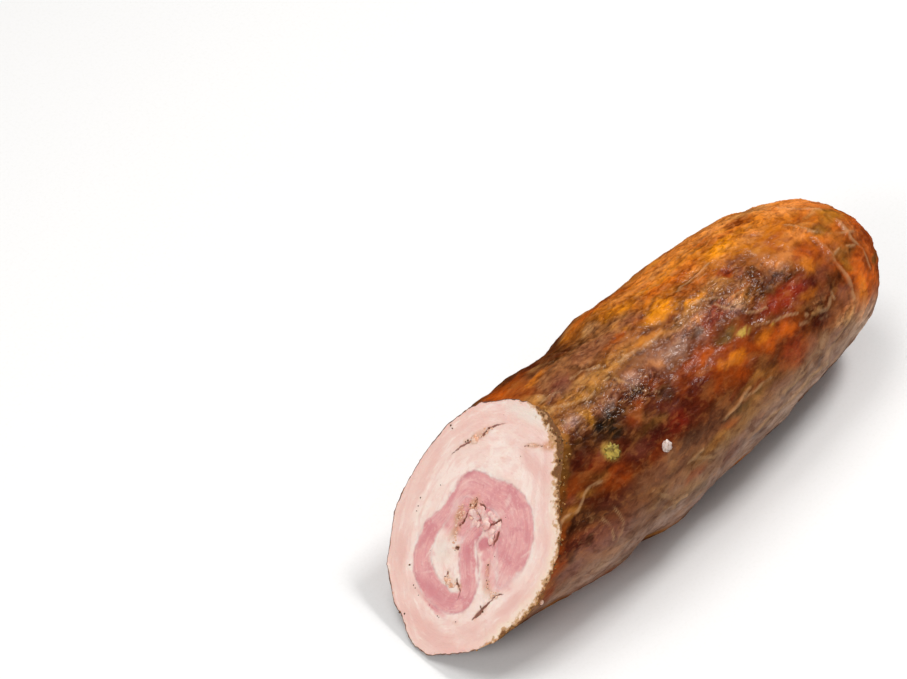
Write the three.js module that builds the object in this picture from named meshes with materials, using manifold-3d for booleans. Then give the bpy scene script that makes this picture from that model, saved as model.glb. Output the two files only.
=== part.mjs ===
// Half a rolled pancetta: a pork belly rolled up with its lean layer inside, cooked in a casing,
// smoked, and cut through on a slant. Millimetres. +X runs from the cut to the closed end, +Z is up,
// and the origin is at the bottom centre of the whole.
import * as THREE from 'three';
import { mergeVertices } from 'three/addons/utils/BufferGeometryUtils.js';
import Module from 'manifold-3d';

const wasm = await Module();
wasm.setup();

// The roll, along its own middle line, which starts at x = 0 halfway along
const ROLL_RADIUS = 48.3;
const CUT_RADIUS = 44.6;
const CENTRE_HEIGHT = 46;
const SWELL = { from: -112, to: -18 };
const TAPER = 0.9;
const DOME_START = 56;
const DOME_LENGTH = 106;
const DOME_POWER = 0.375;
const TIP = DOME_START + DOME_LENGTH;
const RAW_END = -152;
const CUT_OFFSET = 5.2;
const TIP_OFFSET = -3.4;

// The slanted cut: where it crosses the middle line, how far it tips up and how far it swings round
const CUT_AT = -96.8;
const CUT_TILT = 41.2;
const CUT_SWING = 8.1;

// The lean layer stops short of the closed end, with a hair's gap all round it
const LEAN_STOP = 136;
const LEAN_GAP = 0.4;

// Steps of the mesh
const SIDES = 72;
const RING_STEP = 7;
const DOME_RINGS = 12;
const BAND_STEPS = 46;
const BAND_END_STEPS = 5;
const BAND_RINGS = 12;

// Swells and dents of the skin: place along the roll, angle round it as seen from the cut
// (0 right, 90 top, 180 left, 270 bottom), half-length along, half-width round, and height
const LUMPS = [
  { x: -72, angle: 45, along: 27, round: 21, height: -6.6 },
  { x: -92, angle: 110, along: 26, round: 20, height: 2.6 },
  { x: -86, angle: 346, along: 16, round: 12, height: 1.4 },
  { x: -120, angle: 330, along: 14, round: 16, height: -2.2 },
  { x: -72, angle: 147, along: 24, round: 24, height: 1.6 },
  { x: -122, angle: 300, along: 28, round: 17, height: -3.6 },
  { x: -128, angle: 246, along: 24, round: 14, height: -2.4 },
  { x: -53, angle: 326, along: 12, round: 22, height: 1 },
  { x: -36, angle: 326, along: 11, round: 22, height: -2.8 },
  { x: -12, angle: 326, along: 15, round: 24, height: 2 },
  { x: -12, angle: 147, along: 14, round: 22, height: -2.8 },
  { x: 18, angle: 147, along: 14, round: 24, height: 1.2 },
  { x: 46, angle: 120, along: 18, round: 16, height: -1 },
  { x: 20, angle: 70, along: 26, round: 14, height: -1.4 },
  { x: -30, angle: 84, along: 20, round: 15, height: 1.3 },
  { x: 62, angle: 30, along: 20, round: 14, height: 0.8 },
  { x: 92, angle: 330, along: 22, round: 24, height: -1.6 },
  { x: 148, angle: 326, along: 13, round: 20, height: 3.4 },
  { x: 142, angle: 140, along: 14, round: 20, height: 1.2 },
  { x: 78, angle: 220, along: 30, round: 22, height: 1.4 },
  { x: 10, angle: 205, along: 20, round: 18, height: -1.6 },
  { x: -50, angle: 215, along: 22, round: 20, height: 1.2 },
];

// The middle of the lean layer as it curls inwards, seen from the cut: right, up, and half its thickness
const LEAN_CURL = [
  [17.6, 39.4, 3.2], [17.6, 43.5, 6.4], [16.8, 49, 8.8], [12.4, 56.4, 8.6], [2.5, 61, 6], [-9, 59.6, 4.9],
  [-19.6, 57.4, 4.5], [-23.6, 50.6, 2.8], [-24.4, 43.8, 2.9], [-27.4, 35.6, 4.4], [-24.4, 26.6, 4.5],
  [-17.4, 22.4, 4.4], [-9, 21, 4.1], [-1, 21.6, 3.7], [4.4, 25.4, 4.3], [3.4, 31.6, 4.7], [-2.4, 36.8, 4.5],
  [-6.4, 41.8, 3.8], [-5.2, 46.4, 2.9],
];

// Where the turns of the roll have come apart at the cut: two ends, width and depth
const SEAM_GAPS = [
  { from: [-18.4, 80.6], to: [-36.2, 59.6], width: 1.6, depth: 7, bow: -1.6 },
  { from: [13.6, 22.8], to: [17.6, 30.4], width: 1.8, depth: 6, bow: -0.5 },
];

// Flakes of fat and seasoning that stick to the skin: place, angle, length, breadth, thickness and turn
const FLAKES = [
  { x: -45, angle: 50, length: 6.4, breadth: 4.6, height: 1.4, turn: 20 },
  { x: -20, angle: 33, length: 4.4, breadth: 3.2, height: 1.4, turn: 70 },
  { x: -103, angle: 351, length: 3.8, breadth: 2.6, height: 1.3, turn: 10 },
];

const COLOURS = { rind: 0x6b3a20, lean: 0xd98f93 };

function smoothstep(value, from, to) {
  return THREE.MathUtils.smoothstep(value, from, to);
}

// How far the closed end has slumped aside, and how far the middle line lies aside, both towards +Y
function tipOffset(x) {
  return TIP_OFFSET * smoothstep(x, 90, 150);
}

function centreOffset(x) {
  return CUT_OFFSET * (1 - smoothstep(x, -105, -45)) + tipOffset(x);
}

// The plain radius at a place along the roll, without lumps
function plainRadius(x) {
  const swell = CUT_RADIUS + (ROLL_RADIUS - CUT_RADIUS) * smoothstep(x, SWELL.from, SWELL.to);
  const taper = TAPER * THREE.MathUtils.clamp(x / DOME_START, 0, 1);
  const reach = THREE.MathUtils.clamp((x - DOME_START) / DOME_LENGTH, 0, 1);
  return (swell - taper) * Math.max(1 - reach * reach, 0) ** DOME_POWER;
}

// The sum of all lumps at a place and angle, in millimetres
function lumpHeight(x, angle) {
  let sum = 0;
  for (const lump of LUMPS) {
    const turn = THREE.MathUtils.euclideanModulo(angle - lump.angle + 180, 360) - 180;
    const away = THREE.MathUtils.degToRad(turn) * ROLL_RADIUS;
    sum += lump.height * Math.exp(-(((x - lump.x) / lump.along) ** 2) - (away / lump.round) ** 2);
  }
  return sum;
}

// A point of the skin. The underside is pressed flat where the roll lies on the table.
function skinPoint(x, angle) {
  const plain = plainRadius(x);
  const radius = plain + (lumpHeight(x, angle) * plain) / ROLL_RADIUS;
  const turn = THREE.MathUtils.degToRad(angle);
  const y = centreOffset(x) - radius * Math.cos(turn);
  const z = CENTRE_HEIGHT + radius * Math.sin(turn);
  return new THREE.Vector3(x, y, Math.max(z, 0));
}

// Joins a geometry's equal vertices, drops faces without area and makes a solid of it
function solid(geometry) {
  const bare = geometry.clone();
  bare.deleteAttribute('normal');
  bare.deleteAttribute('uv');
  const merged = mergeVertices(bare, 1e-4);
  const corners = merged.index.array;
  const kept = [];
  for (let i = 0; i < corners.length; i += 3) {
    const [a, b, c] = corners.slice(i, i + 3);
    if (a !== b && b !== c && c !== a) {
      kept.push(a, b, c);
    }
  }
  const mesh = new wasm.Mesh({
    numProp: 3,
    vertProperties: new Float32Array(merged.attributes.position.array),
    triVerts: new Uint32Array(kept),
  });
  return new wasm.Manifold(mesh);
}

// Turns a solid back into a geometry
function geometryOf(body) {
  const mesh = body.getMesh();
  const geometry = new THREE.BufferGeometry();
  geometry.setAttribute('position', new THREE.BufferAttribute(mesh.vertProperties, 3));
  geometry.setIndex(new THREE.BufferAttribute(mesh.triVerts, 1));
  geometry.computeVertexNormals();
  return geometry;
}

// Moves each vertex of a geometry to where the rule puts it
function reshape(geometry, rule) {
  const position = geometry.attributes.position;
  const point = new THREE.Vector3();
  for (let i = 0; i < position.count; i += 1) {
    point.fromBufferAttribute(position, i);
    const moved = rule(point);
    position.setXYZ(i, moved.x, moved.y, moved.z);
  }
  return geometry;
}

// The uncut roll: a turned profile, swollen and dented into the shape of the skin
function rawRoll() {
  const stations = [];
  for (let x = RAW_END; x < DOME_START; x += RING_STEP) {
    stations.push(x);
  }
  for (let i = 0; i < DOME_RINGS; i += 1) {
    stations.push(DOME_START + DOME_LENGTH * Math.sin((Math.PI / 2) * (i / DOME_RINGS)));
  }
  const profile = [new THREE.Vector2(0, RAW_END)];
  for (const x of stations) {
    profile.push(new THREE.Vector2(plainRadius(x), x));
  }
  profile.push(new THREE.Vector2(0, TIP));
  const turned = new THREE.LatheGeometry(profile, SIDES);
  return reshape(turned, (point) => {
    const radius = Math.hypot(point.x, point.z);
    const angle = THREE.MathUtils.radToDeg(Math.atan2(point.z, point.x));
    return radius > 0.01 ? skinPoint(point.y, angle) : centrePoint(point.y);
  });
}

function centrePoint(x) {
  return new THREE.Vector3(x, centreOffset(x), CENTRE_HEIGHT);
}

// The direction that the cut face looks in
function cutDirection() {
  const tilt = THREE.MathUtils.degToRad(CUT_TILT);
  const swing = THREE.MathUtils.degToRad(CUT_SWING);
  return new THREE.Vector3(
    -Math.cos(tilt) * Math.cos(swing),
    Math.cos(tilt) * Math.sin(swing),
    Math.sin(tilt),
  );
}

// A block that takes away everything on the far side of the cut
function knife() {
  const size = 600;
  const direction = cutDirection();
  const block = new THREE.BoxGeometry(size, size, size);
  block.translate(size / 2, 0, 0);
  block.applyQuaternion(new THREE.Quaternion().setFromUnitVectors(new THREE.Vector3(1, 0, 0), direction));
  block.translate(CUT_AT, 0, CENTRE_HEIGHT);
  return solid(block);
}

// Where the cut plane is along the roll, for a place in the section
function cutPlace(right, up) {
  const direction = cutDirection();
  return CUT_AT + (right * direction.y - (up - CENTRE_HEIGHT) * direction.z) / direction.x;
}

// The outline of the curled lean layer, grown by a margin all round
function leanOutline(margin) {
  const curve = new THREE.CatmullRomCurve3(LEAN_CURL.map((stop) => new THREE.Vector3(...stop)));
  const middle = curve.getSpacedPoints(BAND_STEPS);
  const last = middle.length - 1;
  const aheadOf = (i) => {
    const ahead = middle[Math.min(i + 1, last)].clone().sub(middle[Math.max(i - 1, 0)]);
    return new THREE.Vector2(ahead.x, ahead.y).normalize();
  };
  const beside = (i, turn) => {
    const ahead = aheadOf(i).rotateAround(new THREE.Vector2(), turn);
    return ahead.multiplyScalar(middle[i].z + margin).add(middle[i]);
  };
  const outline = [];
  for (let i = 0; i <= last; i += 1) {
    outline.push(beside(i, -Math.PI / 2));
  }
  for (let k = 1; k < BAND_END_STEPS; k += 1) {
    outline.push(beside(last, -Math.PI / 2 + (Math.PI * k) / BAND_END_STEPS));
  }
  for (let i = last; i >= 0; i -= 1) {
    outline.push(beside(i, Math.PI / 2));
  }
  for (let k = 1; k < BAND_END_STEPS; k += 1) {
    outline.push(beside(0, Math.PI / 2 + (Math.PI * k) / BAND_END_STEPS));
  }
  return new THREE.Shape(outline);
}

// The lean layer, which narrows and shifts with the roll as it runs towards the closed end
function leanRun(margin) {
  const stop = LEAN_STOP + margin;
  const length = stop - RAW_END;
  const run = new THREE.ExtrudeGeometry(leanOutline(margin), {
    depth: length,
    steps: BAND_RINGS,
    bevelEnabled: false,
  });
  return reshape(run, (point) => {
    const x = stop - point.z;
    const scale = Math.min(plainRadius(x) / CUT_RADIUS, 1);
    const y = tipOffset(x) - point.x * scale;
    return new THREE.Vector3(x, y, CENTRE_HEIGHT + (point.y - CENTRE_HEIGHT) * scale);
  });
}

// A lens-shaped gap between two turns, open at the cut
function seamGap({ from, to, width, depth, bow }) {
  const a = new THREE.Vector2(...from);
  const b = new THREE.Vector2(...to);
  const across = b.clone().sub(a).rotateAround(new THREE.Vector2(), Math.PI / 2).normalize();
  const middle = a.clone().add(b).multiplyScalar(0.5);
  const inner = middle.clone().addScaledVector(across, bow - width);
  const outer = middle.clone().addScaledVector(across, bow + width);
  const lens = new THREE.Shape();
  lens.moveTo(a.x, a.y);
  lens.quadraticCurveTo(inner.x, inner.y, b.x, b.y);
  lens.quadraticCurveTo(outer.x, outer.y, a.x, a.y);
  const cutter = new THREE.ExtrudeGeometry(lens, { depth: 2 * depth, curveSegments: 5, bevelEnabled: false });
  return solid(reshape(cutter, (point) => {
    const x = cutPlace(point.x, point.y) + depth - point.z;
    return new THREE.Vector3(x, -point.x, point.y);
  }));
}

// A flake, sunk by half into the skin
function flake({ x, angle, length, breadth, height, turn }) {
  const chip = new THREE.IcosahedronGeometry(1, 1);
  chip.scale(length / 2, breadth / 2, height);
  chip.rotateZ(THREE.MathUtils.degToRad(turn));
  chip.rotateX(THREE.MathUtils.degToRad(90 - angle));
  const place = skinPoint(x, angle);
  chip.translate(place.x, place.y, place.z);
  return solid(chip);
}

function fatAndRind() {
  let body = solid(rawRoll()).subtract(knife()).subtract(solid(leanRun(LEAN_GAP)));
  for (const gap of SEAM_GAPS) {
    body = body.subtract(seamGap(gap));
  }
  for (const spot of FLAKES) {
    body = body.add(flake(spot));
  }
  return body;
}

function leanLayer() {
  return solid(leanRun(0)).subtract(knife());
}

function namedMesh(name, body, colour, roughness) {
  const material = new THREE.MeshStandardMaterial({ color: colour, roughness, metalness: 0 });
  const mesh = new THREE.Mesh(geometryOf(body), material);
  mesh.name = name;
  return mesh;
}

const pancetta = new THREE.Group();
pancetta.add(namedMesh('fat_and_rind', fatAndRind(), COLOURS.rind, 0.4));
pancetta.add(namedMesh('lean_layer', leanLayer(), COLOURS.lean, 0.55));

// The origin goes to the bottom centre
const box = new THREE.Box3().setFromObject(pancetta);
const middle = box.getCenter(new THREE.Vector3());
pancetta.position.set(-middle.x, -middle.y, -box.min.z);

export default pancetta;
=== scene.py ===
# %% [markdown]
# # Half a rolled pancetta, cut on a slant
# The real thing is a pork belly, rolled up so that its lean layer curls inside its pale fat, pressed
# into a collagen casing, cooked, smoked until the casing is glossy brown, and cut through with a knife.
# A CAD model gives the size and the two solids: the outer fat with its rind, and the lean layer.
# This lesson dresses them in Blender. The shapes come from the same formulas as the CAD model, but on
# a mesh fine enough for wrinkles, and the colours come from stains laid on that mesh.

# %% Load the frame
import math

import bmesh
import bpy
import numpy as np
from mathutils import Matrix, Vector, noise
from mathutils.geometry import delaunay_2d_cdt, tessellate_polygon


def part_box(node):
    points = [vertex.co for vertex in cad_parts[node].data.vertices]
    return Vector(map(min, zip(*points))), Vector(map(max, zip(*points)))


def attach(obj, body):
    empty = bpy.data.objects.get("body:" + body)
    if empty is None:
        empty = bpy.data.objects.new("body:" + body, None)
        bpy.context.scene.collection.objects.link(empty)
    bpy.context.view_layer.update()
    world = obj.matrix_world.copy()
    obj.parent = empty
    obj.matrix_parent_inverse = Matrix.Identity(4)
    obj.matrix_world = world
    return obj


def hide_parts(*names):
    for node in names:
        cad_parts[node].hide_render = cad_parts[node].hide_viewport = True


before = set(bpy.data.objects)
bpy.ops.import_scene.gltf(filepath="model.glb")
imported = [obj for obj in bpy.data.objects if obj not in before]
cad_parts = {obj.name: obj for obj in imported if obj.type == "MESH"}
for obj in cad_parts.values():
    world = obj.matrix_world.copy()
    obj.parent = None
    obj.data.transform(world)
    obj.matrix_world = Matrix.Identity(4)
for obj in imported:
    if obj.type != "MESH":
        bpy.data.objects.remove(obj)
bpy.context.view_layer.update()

# %% [markdown]
# ## The roll as a formula
# A roll is a tube whose radius changes along its length. It could be sculpted by hand, but a formula
# can be asked for a point anywhere, so skin, cut and lean layer all agree to a hair. All lengths here
# are millimetres, x runs along the roll, and an angle goes round it as seen from the cut: 0 is right,
# 90 top, 180 left and 270 bottom. These are the CAD model's own driving sizes.

# %% The roll's sizes
ROLL_RADIUS = 48.3
CUT_RADIUS = 44.6
CENTRE_HEIGHT = 46
SWELL_FROM, SWELL_TO = -112, -18
TAPER = 0.9
DOME_START = 56
DOME_LENGTH = 106
DOME_POWER = 0.375
TIP = DOME_START + DOME_LENGTH
RAW_END = -152
CUT_OFFSET = 5.2
CUT_OFFSET_SPAN = (-105, -45)
TIP_OFFSET = -3.4
TIP_OFFSET_SPAN = (90, 150)
CUT_AT = -96.8
CUT_TILT = math.radians(41.2)
CUT_SWING = math.radians(8.1)
LEAN_STOP = 136

# Place along the roll, angle, half-length, half-width and height of each swell or dent
LUMPS = [
    (-72, 45, 27, 21, -6.6), (-92, 110, 26, 20, 2.6), (-86, 346, 16, 12, 1.4),
    (-120, 330, 14, 16, -2.2), (-72, 147, 24, 24, 1.6), (-122, 300, 28, 17, -3.6),
    (-128, 246, 24, 14, -2.4), (-53, 326, 12, 22, 1), (-36, 326, 11, 22, -2.8),
    (-12, 326, 15, 24, 2), (-12, 147, 14, 22, -2.8), (18, 147, 14, 24, 1.2),
    (46, 120, 18, 16, -1), (20, 70, 26, 14, -1.4), (-30, 84, 20, 15, 1.3),
    (62, 30, 20, 14, 0.8), (92, 330, 22, 24, -1.6), (148, 326, 13, 20, 3.4),
    (142, 140, 14, 20, 1.2), (78, 220, 30, 22, 1.4), (10, 205, 20, 18, -1.6),
    (-50, 215, 22, 20, 1.2),
]


def smoothstep(value, low, high):
    """Rises smoothly from 0 at low to 1 at high."""
    part = np.clip((value - low) / (high - low), 0, 1)
    return part * part * (3 - 2 * part)


def tip_offset(x):
    """How far aside the roll's middle lies near its closed end."""
    return TIP_OFFSET * smoothstep(x, *TIP_OFFSET_SPAN)


def plain_radius(x):
    """The roll's radius without lumps."""
    swell = CUT_RADIUS + (ROLL_RADIUS - CUT_RADIUS) * smoothstep(x, SWELL_FROM, SWELL_TO)
    reach = np.clip((x - DOME_START) / DOME_LENGTH, 0, 1)
    taper = TAPER * np.clip(x / DOME_START, 0, 1)
    return (swell - taper) * np.maximum(1 - reach**2, 0) ** DOME_POWER


def arc_between(angle, other):
    """The way round the skin from one angle to another, in millimetres."""
    return np.radians((angle - other + 180) % 360 - 180) * ROLL_RADIUS


def skin_point(x, angle):
    """Points of the skin. The roll lies on a narrow flat strip at height 0."""
    lumps = np.zeros_like(x)
    for at, towards, along, across, height in LUMPS:
        lumps += height * np.exp(-(((x - at) / along) ** 2) - (arc_between(angle, towards) / across) ** 2)
    radius = plain_radius(x) * (1 + lumps / ROLL_RADIUS)
    aside = CUT_OFFSET * (1 - smoothstep(x, *CUT_OFFSET_SPAN)) + tip_offset(x)
    y = aside - radius * np.cos(np.radians(angle))
    z = CENTRE_HEIGHT + radius * np.sin(np.radians(angle))
    return np.stack([x, y, np.maximum(z, 0)], axis=-1)


print("roll from", RAW_END, "to", TIP, "mm before the cut")

# %% [markdown]
# ## The slanted cut
# The knife went through at a slant, so the cut is a long oval. The cut is a plane, and this cell gives
# the place along the roll where that plane is, for any spot of the section seen from the cut end.

# %% The cut plane
cut_normal = np.array([
    -math.cos(CUT_TILT) * math.cos(CUT_SWING),
    math.cos(CUT_TILT) * math.sin(CUT_SWING),
    math.sin(CUT_TILT),
])


def cut_place(right, up):
    """Where along the roll the cut is, for a spot so far right and up in the section."""
    sideways = right * cut_normal[1] - (up - CENTRE_HEIGHT) * cut_normal[2]
    return CUT_AT + sideways / cut_normal[0]


print("the cut looks along", cut_normal.round(3))

# %% [markdown]
# ## The grid of the skin
# The skin is a grid: columns run from the rim of the cut to the closed end, rows go round. A lathe
# would give rows straight across, but then the slanted rim would need a Boolean cut with long thin
# faces. Here every column starts on the rim itself, and its rows are spread evenly along its length,
# so that all faces stay about a millimetre wide and can carry fine wrinkles.

# %% Rows and columns of the skin
COLUMNS = 300
ROWS = 256
RIM_ROUNDS = 30
STRAIGHT_STATIONS = 200
DOME_STATIONS = 600

column_angles = np.arange(COLUMNS) * 360 / COLUMNS
rim_x = np.full(COLUMNS, float(CUT_AT))
for _ in range(RIM_ROUNDS):
    on_skin = skin_point(rim_x, column_angles)
    rim_x = cut_place(-on_skin[:, 1], on_skin[:, 2])

stations = np.concatenate([
    np.linspace(RAW_END, DOME_START, STRAIGHT_STATIONS, endpoint=False),
    DOME_START + DOME_LENGTH * np.sin(np.linspace(0, math.pi / 2, DOME_STATIONS)),
])
steps = np.hypot(np.diff(stations), np.diff(plain_radius(stations)))
run = np.concatenate([[0], np.cumsum(steps)])
run_at_rim = np.interp(rim_x, stations, run)
share = np.arange(ROWS)[:, None] / ROWS
grid_x = np.interp(run_at_rim + (run[-1] - run_at_rim) * share, run, stations)
grid_angle = np.broadcast_to(column_angles, grid_x.shape)
skin = skin_point(grid_x, grid_angle)
plain_middle = (skin[..., 1].min() + skin[..., 1].max()) / 2
print("skin grid", skin.shape, "rim from x", rim_x.min().round(1), "to", rim_x.max().round(1))

# %% [markdown]
# ## Bumps and wrinkles
# A smoked casing shrinks: it is bumpy over the uneven meat, it has fine wrinkles along the roll and pleats
# at the closed end, and in places the film has lifted into a raised crease with a furrow on each side. Fine
# noise in a bump map would give only the shading of that. Moving the points of the mesh also gives the
# outline and the mesh itself their true form. Blender's own noise functions are used, stretched along the
# roll for wrinkles. A number added to the points reads another part of the noise, so that no two uses show
# the same pattern. The furrows beside the creases don't move the points: they are painted shade in the
# stain.

# %% Noise at a size in millimetres
def ripple(points, size, octaves=3):
    """Fractal noise of about -1 to 1 at each point. size is its bumps' width, one number or three."""
    scaled = points.reshape(-1, 3) / np.asarray(size, float)
    values = [noise.fractal(Vector(spot), 1.0, 2.0, octaves) for spot in scaled]
    return np.array(values).reshape(points.shape[:-1])


def ridges(points, size, octaves=2):
    """Raised lines with broad feet, 0 to 1, where the noise passes through zero."""
    return np.clip(1 - 2.2 * np.abs(ripple(points, size, octaves)), 0, 1) ** 2


print("noise at the tip:", ripple(np.array([[float(TIP), 0, CENTRE_HEIGHT]]), 20).round(2))

# %% Distance to a path
def nearest_on_path(points, path):
    """Distance to a path of straight pieces, and the path's further columns at the nearest place."""
    best = np.full(len(points), np.inf)
    carried = np.zeros((len(points), path.shape[1] - 2))
    for start, end in zip(path[:-1], path[1:]):
        step = end[:2] - start[:2]
        along = np.clip((points - start[:2]) @ step / (step @ step), 0, 1)[:, None]
        away = np.linalg.norm(points - start[:2] - along * step, axis=1)
        closer = away < best
        best[closer] = away[closer]
        carried[closer] = (start[2:] + along * (end[2:] - start[2:]))[closer]
    return best, carried


test_path = np.array([(0.0, 0.0), (10.0, 0.0)])
print("a point 3 mm beside a path:", nearest_on_path(np.array([(5.0, 3.0)]), test_path)[0])

# %% Creases of the lifted film
# Each crease is a line of places (along the roll, angle), with its height and half-width
CREASES = [
    ([(-8, 17), (-2, 18), (4, 20), (10, 22.4), (16, 24), (26, 24.4), (36, 26.5)], 0.9, 0.8),
    ([(30, 24), (37, 22.5), (44, 25), (50, 24)], 0.4, 0.8),
    ([(-88, 30), (-80, 32), (-72, 31), (-68, 35), (-65, 39), (-61, 41), (-56, 40)], 0.5, 0.7),
    ([(-57, 28), (-56, 20), (-55, 12), (-58, 5), (-60, 0)], 0.4, 0.7),
    ([(-64, 20), (-61, 12), (-62, 4)], 0.3, 0.7),
    ([(-46, 10), (-38, 8), (-33, 3), (-26, -1), (-16, -4)], 0.8, 1.0),
    ([(-36, 18), (-30, 10), (-24, 2), (-22, -8)], 0.5, 0.8),
    ([(-12, 17), (-6, 16), (-1, 12), (4, 8)], 0.4, 0.8),
    ([(-54, 97), (-48, 98), (-42, 95)], 0.4, 0.6),
    ([(-52, 90), (-44, 84), (-38, 81), (-30, 80), (-22, 82)], 0.4, 0.6),
    ([(-24, 93), (-16, 89), (-10, 85), (2, 84), (16, 83), (28, 84)], 0.2, 0.6),
    ([(-21, 80), (-18, 73), (-16, 67), (-11, 61), (-7, 59)], 0.5, 0.7),
    ([(-32, 95), (-24, 94), (-18, 92)], 0.4, 0.6),
    ([(38, 84), (46, 81), (54, 77), (60, 72), (66, 70)], 0.4, 0.6),
    ([(42, 96), (50, 97), (58, 96), (66, 97)], 0.4, 0.5),
    ([(48, 76), (52, 68), (55, 62), (60, 58), (68, 56)], 0.6, 0.8),
    ([(56, 52), (64, 48), (72, 45), (80, 42)], 0.3, 0.7),
    ([(84, 38), (92, 35), (98, 31), (103, 34)], 0.4, 1.2),
    ([(78, 36), (88, 31), (96, 27)], 0.3, 1.2),
    ([(119, 70), (119, 58), (118, 46), (119, 34), (118, 22)], 0.9, 1.1),
    ([(105, 40), (106, 30), (105, 20), (108, 10)], 0.5, 0.8),
    ([(121, 56), (128, 57), (136, 51)], 0.6, 0.9),
    ([(120, 78), (126, 70), (134, 66), (142, 60)], 0.6, 0.9),
    ([(138, 90), (139, 74), (137, 58), (140, 44), (138, 28)], 0.7, 0.9),
    ([(122, 112), (130, 101), (138, 92)], 0.5, 0.8),
    ([(112, 90), (118, 84), (122, 78)], 0.4, 0.7),
    ([(56, 8), (66, 9), (76, 7), (84, 9)], 0.5, 0.9),
    ([(94, 10), (100, 7), (106, 9), (112, 15), (116, 18)], 0.5, 0.9),
    ([(30, -4), (44, 0), (60, -2), (78, 0), (92, -4)], 0.6, 1.0),
]
# The skin is unrolled to both sides of the angle that the photo shows in the middle
VIEWED_MIDDLE = 56
CREASE_WANDER = 1.3
FILM_REACH = 1.3
FURROW_ASIDE = 2.4

unrolled = (grid_angle - VIEWED_MIDDLE + 180) % 360 - 180 + VIEWED_MIDDLE
flat_places = np.stack([grid_x.ravel(), np.radians(unrolled.ravel()) * ROLL_RADIUS], axis=1)
wander = [ripple(skin + moved, 15, 4).ravel() for moved in (0, 70)]
flat_places += CREASE_WANDER * np.stack(wander, axis=1)
unbroken = smoothstep(ripple(skin + 140, 8), -0.7, 0.1).ravel()
crease = np.zeros(grid_x.size)
film = np.zeros(grid_x.size)
furrow = np.zeros(grid_x.size)
# The furrows beside each crease don't move the mesh: they only guide painted shade.
for places, height, half_width in CREASES:
    path = np.array([(x, math.radians(angle) * ROLL_RADIUS) for x, angle in places])
    distance, _ = nearest_on_path(flat_places, path)
    beside_it = (distance - FURROW_ASIDE * half_width) / half_width
    crease = np.maximum(crease, unbroken * height * np.exp(-((distance / half_width) ** 2)))
    film = np.maximum(film, unbroken * np.exp(-((distance / (FILM_REACH * half_width)) ** 2)))
    furrow = np.maximum(furrow, unbroken * height * np.exp(-(beside_it**2)))
crease, film, furrow = (values.reshape(grid_x.shape) for values in (crease, film, furrow))
print(len(CREASES), "creases, the highest", crease.max().round(2), "mm")

# %% Where the film is wrinkled
PLAIN_WRINKLES = 0.3
# Place along the roll, angle, half-length, half-width round, strength
WRINKLED_SPOTS = [
    (-40, 78, 22, 12, 1), (-50, 95, 12, 7, 0.9), (-18, 68, 16, 8, 1), (48, 92, 20, 7, 1),
    (60, 75, 22, 12, 1), (28, 78, 14, 7, 1), (86, 66, 12, 6, 0.7), (116, 86, 10, 8, 0.7),
    (-16, 92, 20, 8, 0.8), (60, 112, 90, 18, 0.9), (-30, 110, 20, 10, 0.7), (110, 16, 8, 6, 0.9),
    (-74, 20, 12, 8, 0.6), (96, 36, 10, 5, 0.7), (30, 250, 120, 40, 0.6),
]


def soft_spot(at, towards, along, across, inner, outer, places=grid_x, push=0):
    """How much an oval spot covers each point of the skin: 1 up to inner, 0 from outer on."""
    reach = np.hypot((places - at) / along, (arc_between(grid_angle, towards) + push) / across)
    return 1 - smoothstep(reach, inner, outer)


wrinkle_amount = np.full(grid_x.shape, PLAIN_WRINKLES)
for *oval, strength in WRINKLED_SPOTS:
    wrinkle_amount = np.maximum(wrinkle_amount, strength * soft_spot(*oval, 0.6, 1.6))
print("wrinkled share of the skin:", (wrinkle_amount > PLAIN_WRINKLES).mean().round(2))

# %% Move the skin along its own normals
BROAD_BUMPS = 1.0
SMALL_BUMPS = 0.75
WRINKLES = 0.65
CRINKLES = 0.3
PLEATS = 0.5
PLEATED_END = (108, 126)
RIM_JAGS = 0.4
JAGGED_RIM = (1, 7)

along_rows = np.gradient(skin, axis=0)
round_columns = np.roll(skin, -1, axis=1) - np.roll(skin, 1, axis=1)
normals = np.cross(along_rows, round_columns)
normals /= np.maximum(np.linalg.norm(normals, axis=2, keepdims=True), 1e-9)

lift = (
    WRINKLES * wrinkle_amount * ridges(skin, (10, 4.4, 4.4), 3)
    + CRINKLES * wrinkle_amount * ripple(skin, (5, 2.6, 2.6))
    + PLEATS * ridges(skin, (16, 7, 7)) * smoothstep(grid_x, *PLEATED_END)
)
relief = (
    BROAD_BUMPS * ripple(skin, 24, 2)
    + SMALL_BUMPS * ripple(skin, (11, 9, 9), 2)
    + lift
    + RIM_JAGS * ripple(skin + 60, 2.6, 2) * (1 - smoothstep(grid_x - rim_x, *JAGGED_RIM))
    + crease
)
skin = skin + normals * relief[..., None]
print("relief from", relief.min().round(2), "to", relief.max().round(2), "mm")

# %% Put the rim back on the cut plane
RIM_ROWS = 4

shift = cut_place(-skin[0, :, 1], skin[0, :, 2]) - skin[0, :, 0]
for row in range(RIM_ROWS):
    skin[row, :, 0] += shift * (1 - row / RIM_ROWS)
skin[..., 2] = np.maximum(skin[..., 2], 0)
rim = np.stack([-skin[0, :, 1], skin[0, :, 2]], axis=1)
print("rim spans", np.ptp(rim, axis=0).round(1), "mm in the section")

# %% [markdown]
# ## Smoke stains
# The smoke and the juices left stains: amber and orange on the far flank, grey-brown where the film
# is thick, dark reddish brown where the lean shows through, and ochre where fat lies under the film.
# A painter would lay these as washes, one over the other, and so do these cells: each stain has a
# place, an angle, a half-length and a half-width, and noise pushes its edge about. Broad stains come
# first, then small drawn ones, then those read off the photo, and thin washes last. The photo shows
# only one side, so the back and underside get stains of the same kinds by seeded draws.
# Some washes are painted light: pale grey and lilac ones paint the sheen on the top and the reflection of
# the pale floor on the underside.

# %% Pigments
def linear(colour):
    """An sRGB hex colour as linear light, with alpha."""
    parts = [int(colour[i:i + 2], 16) / 255 for i in (0, 2, 4)]
    return [c / 12.92 if c <= 0.04045 else ((c + 0.055) / 1.055) ** 2.4 for c in parts] + [1.0]


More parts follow.
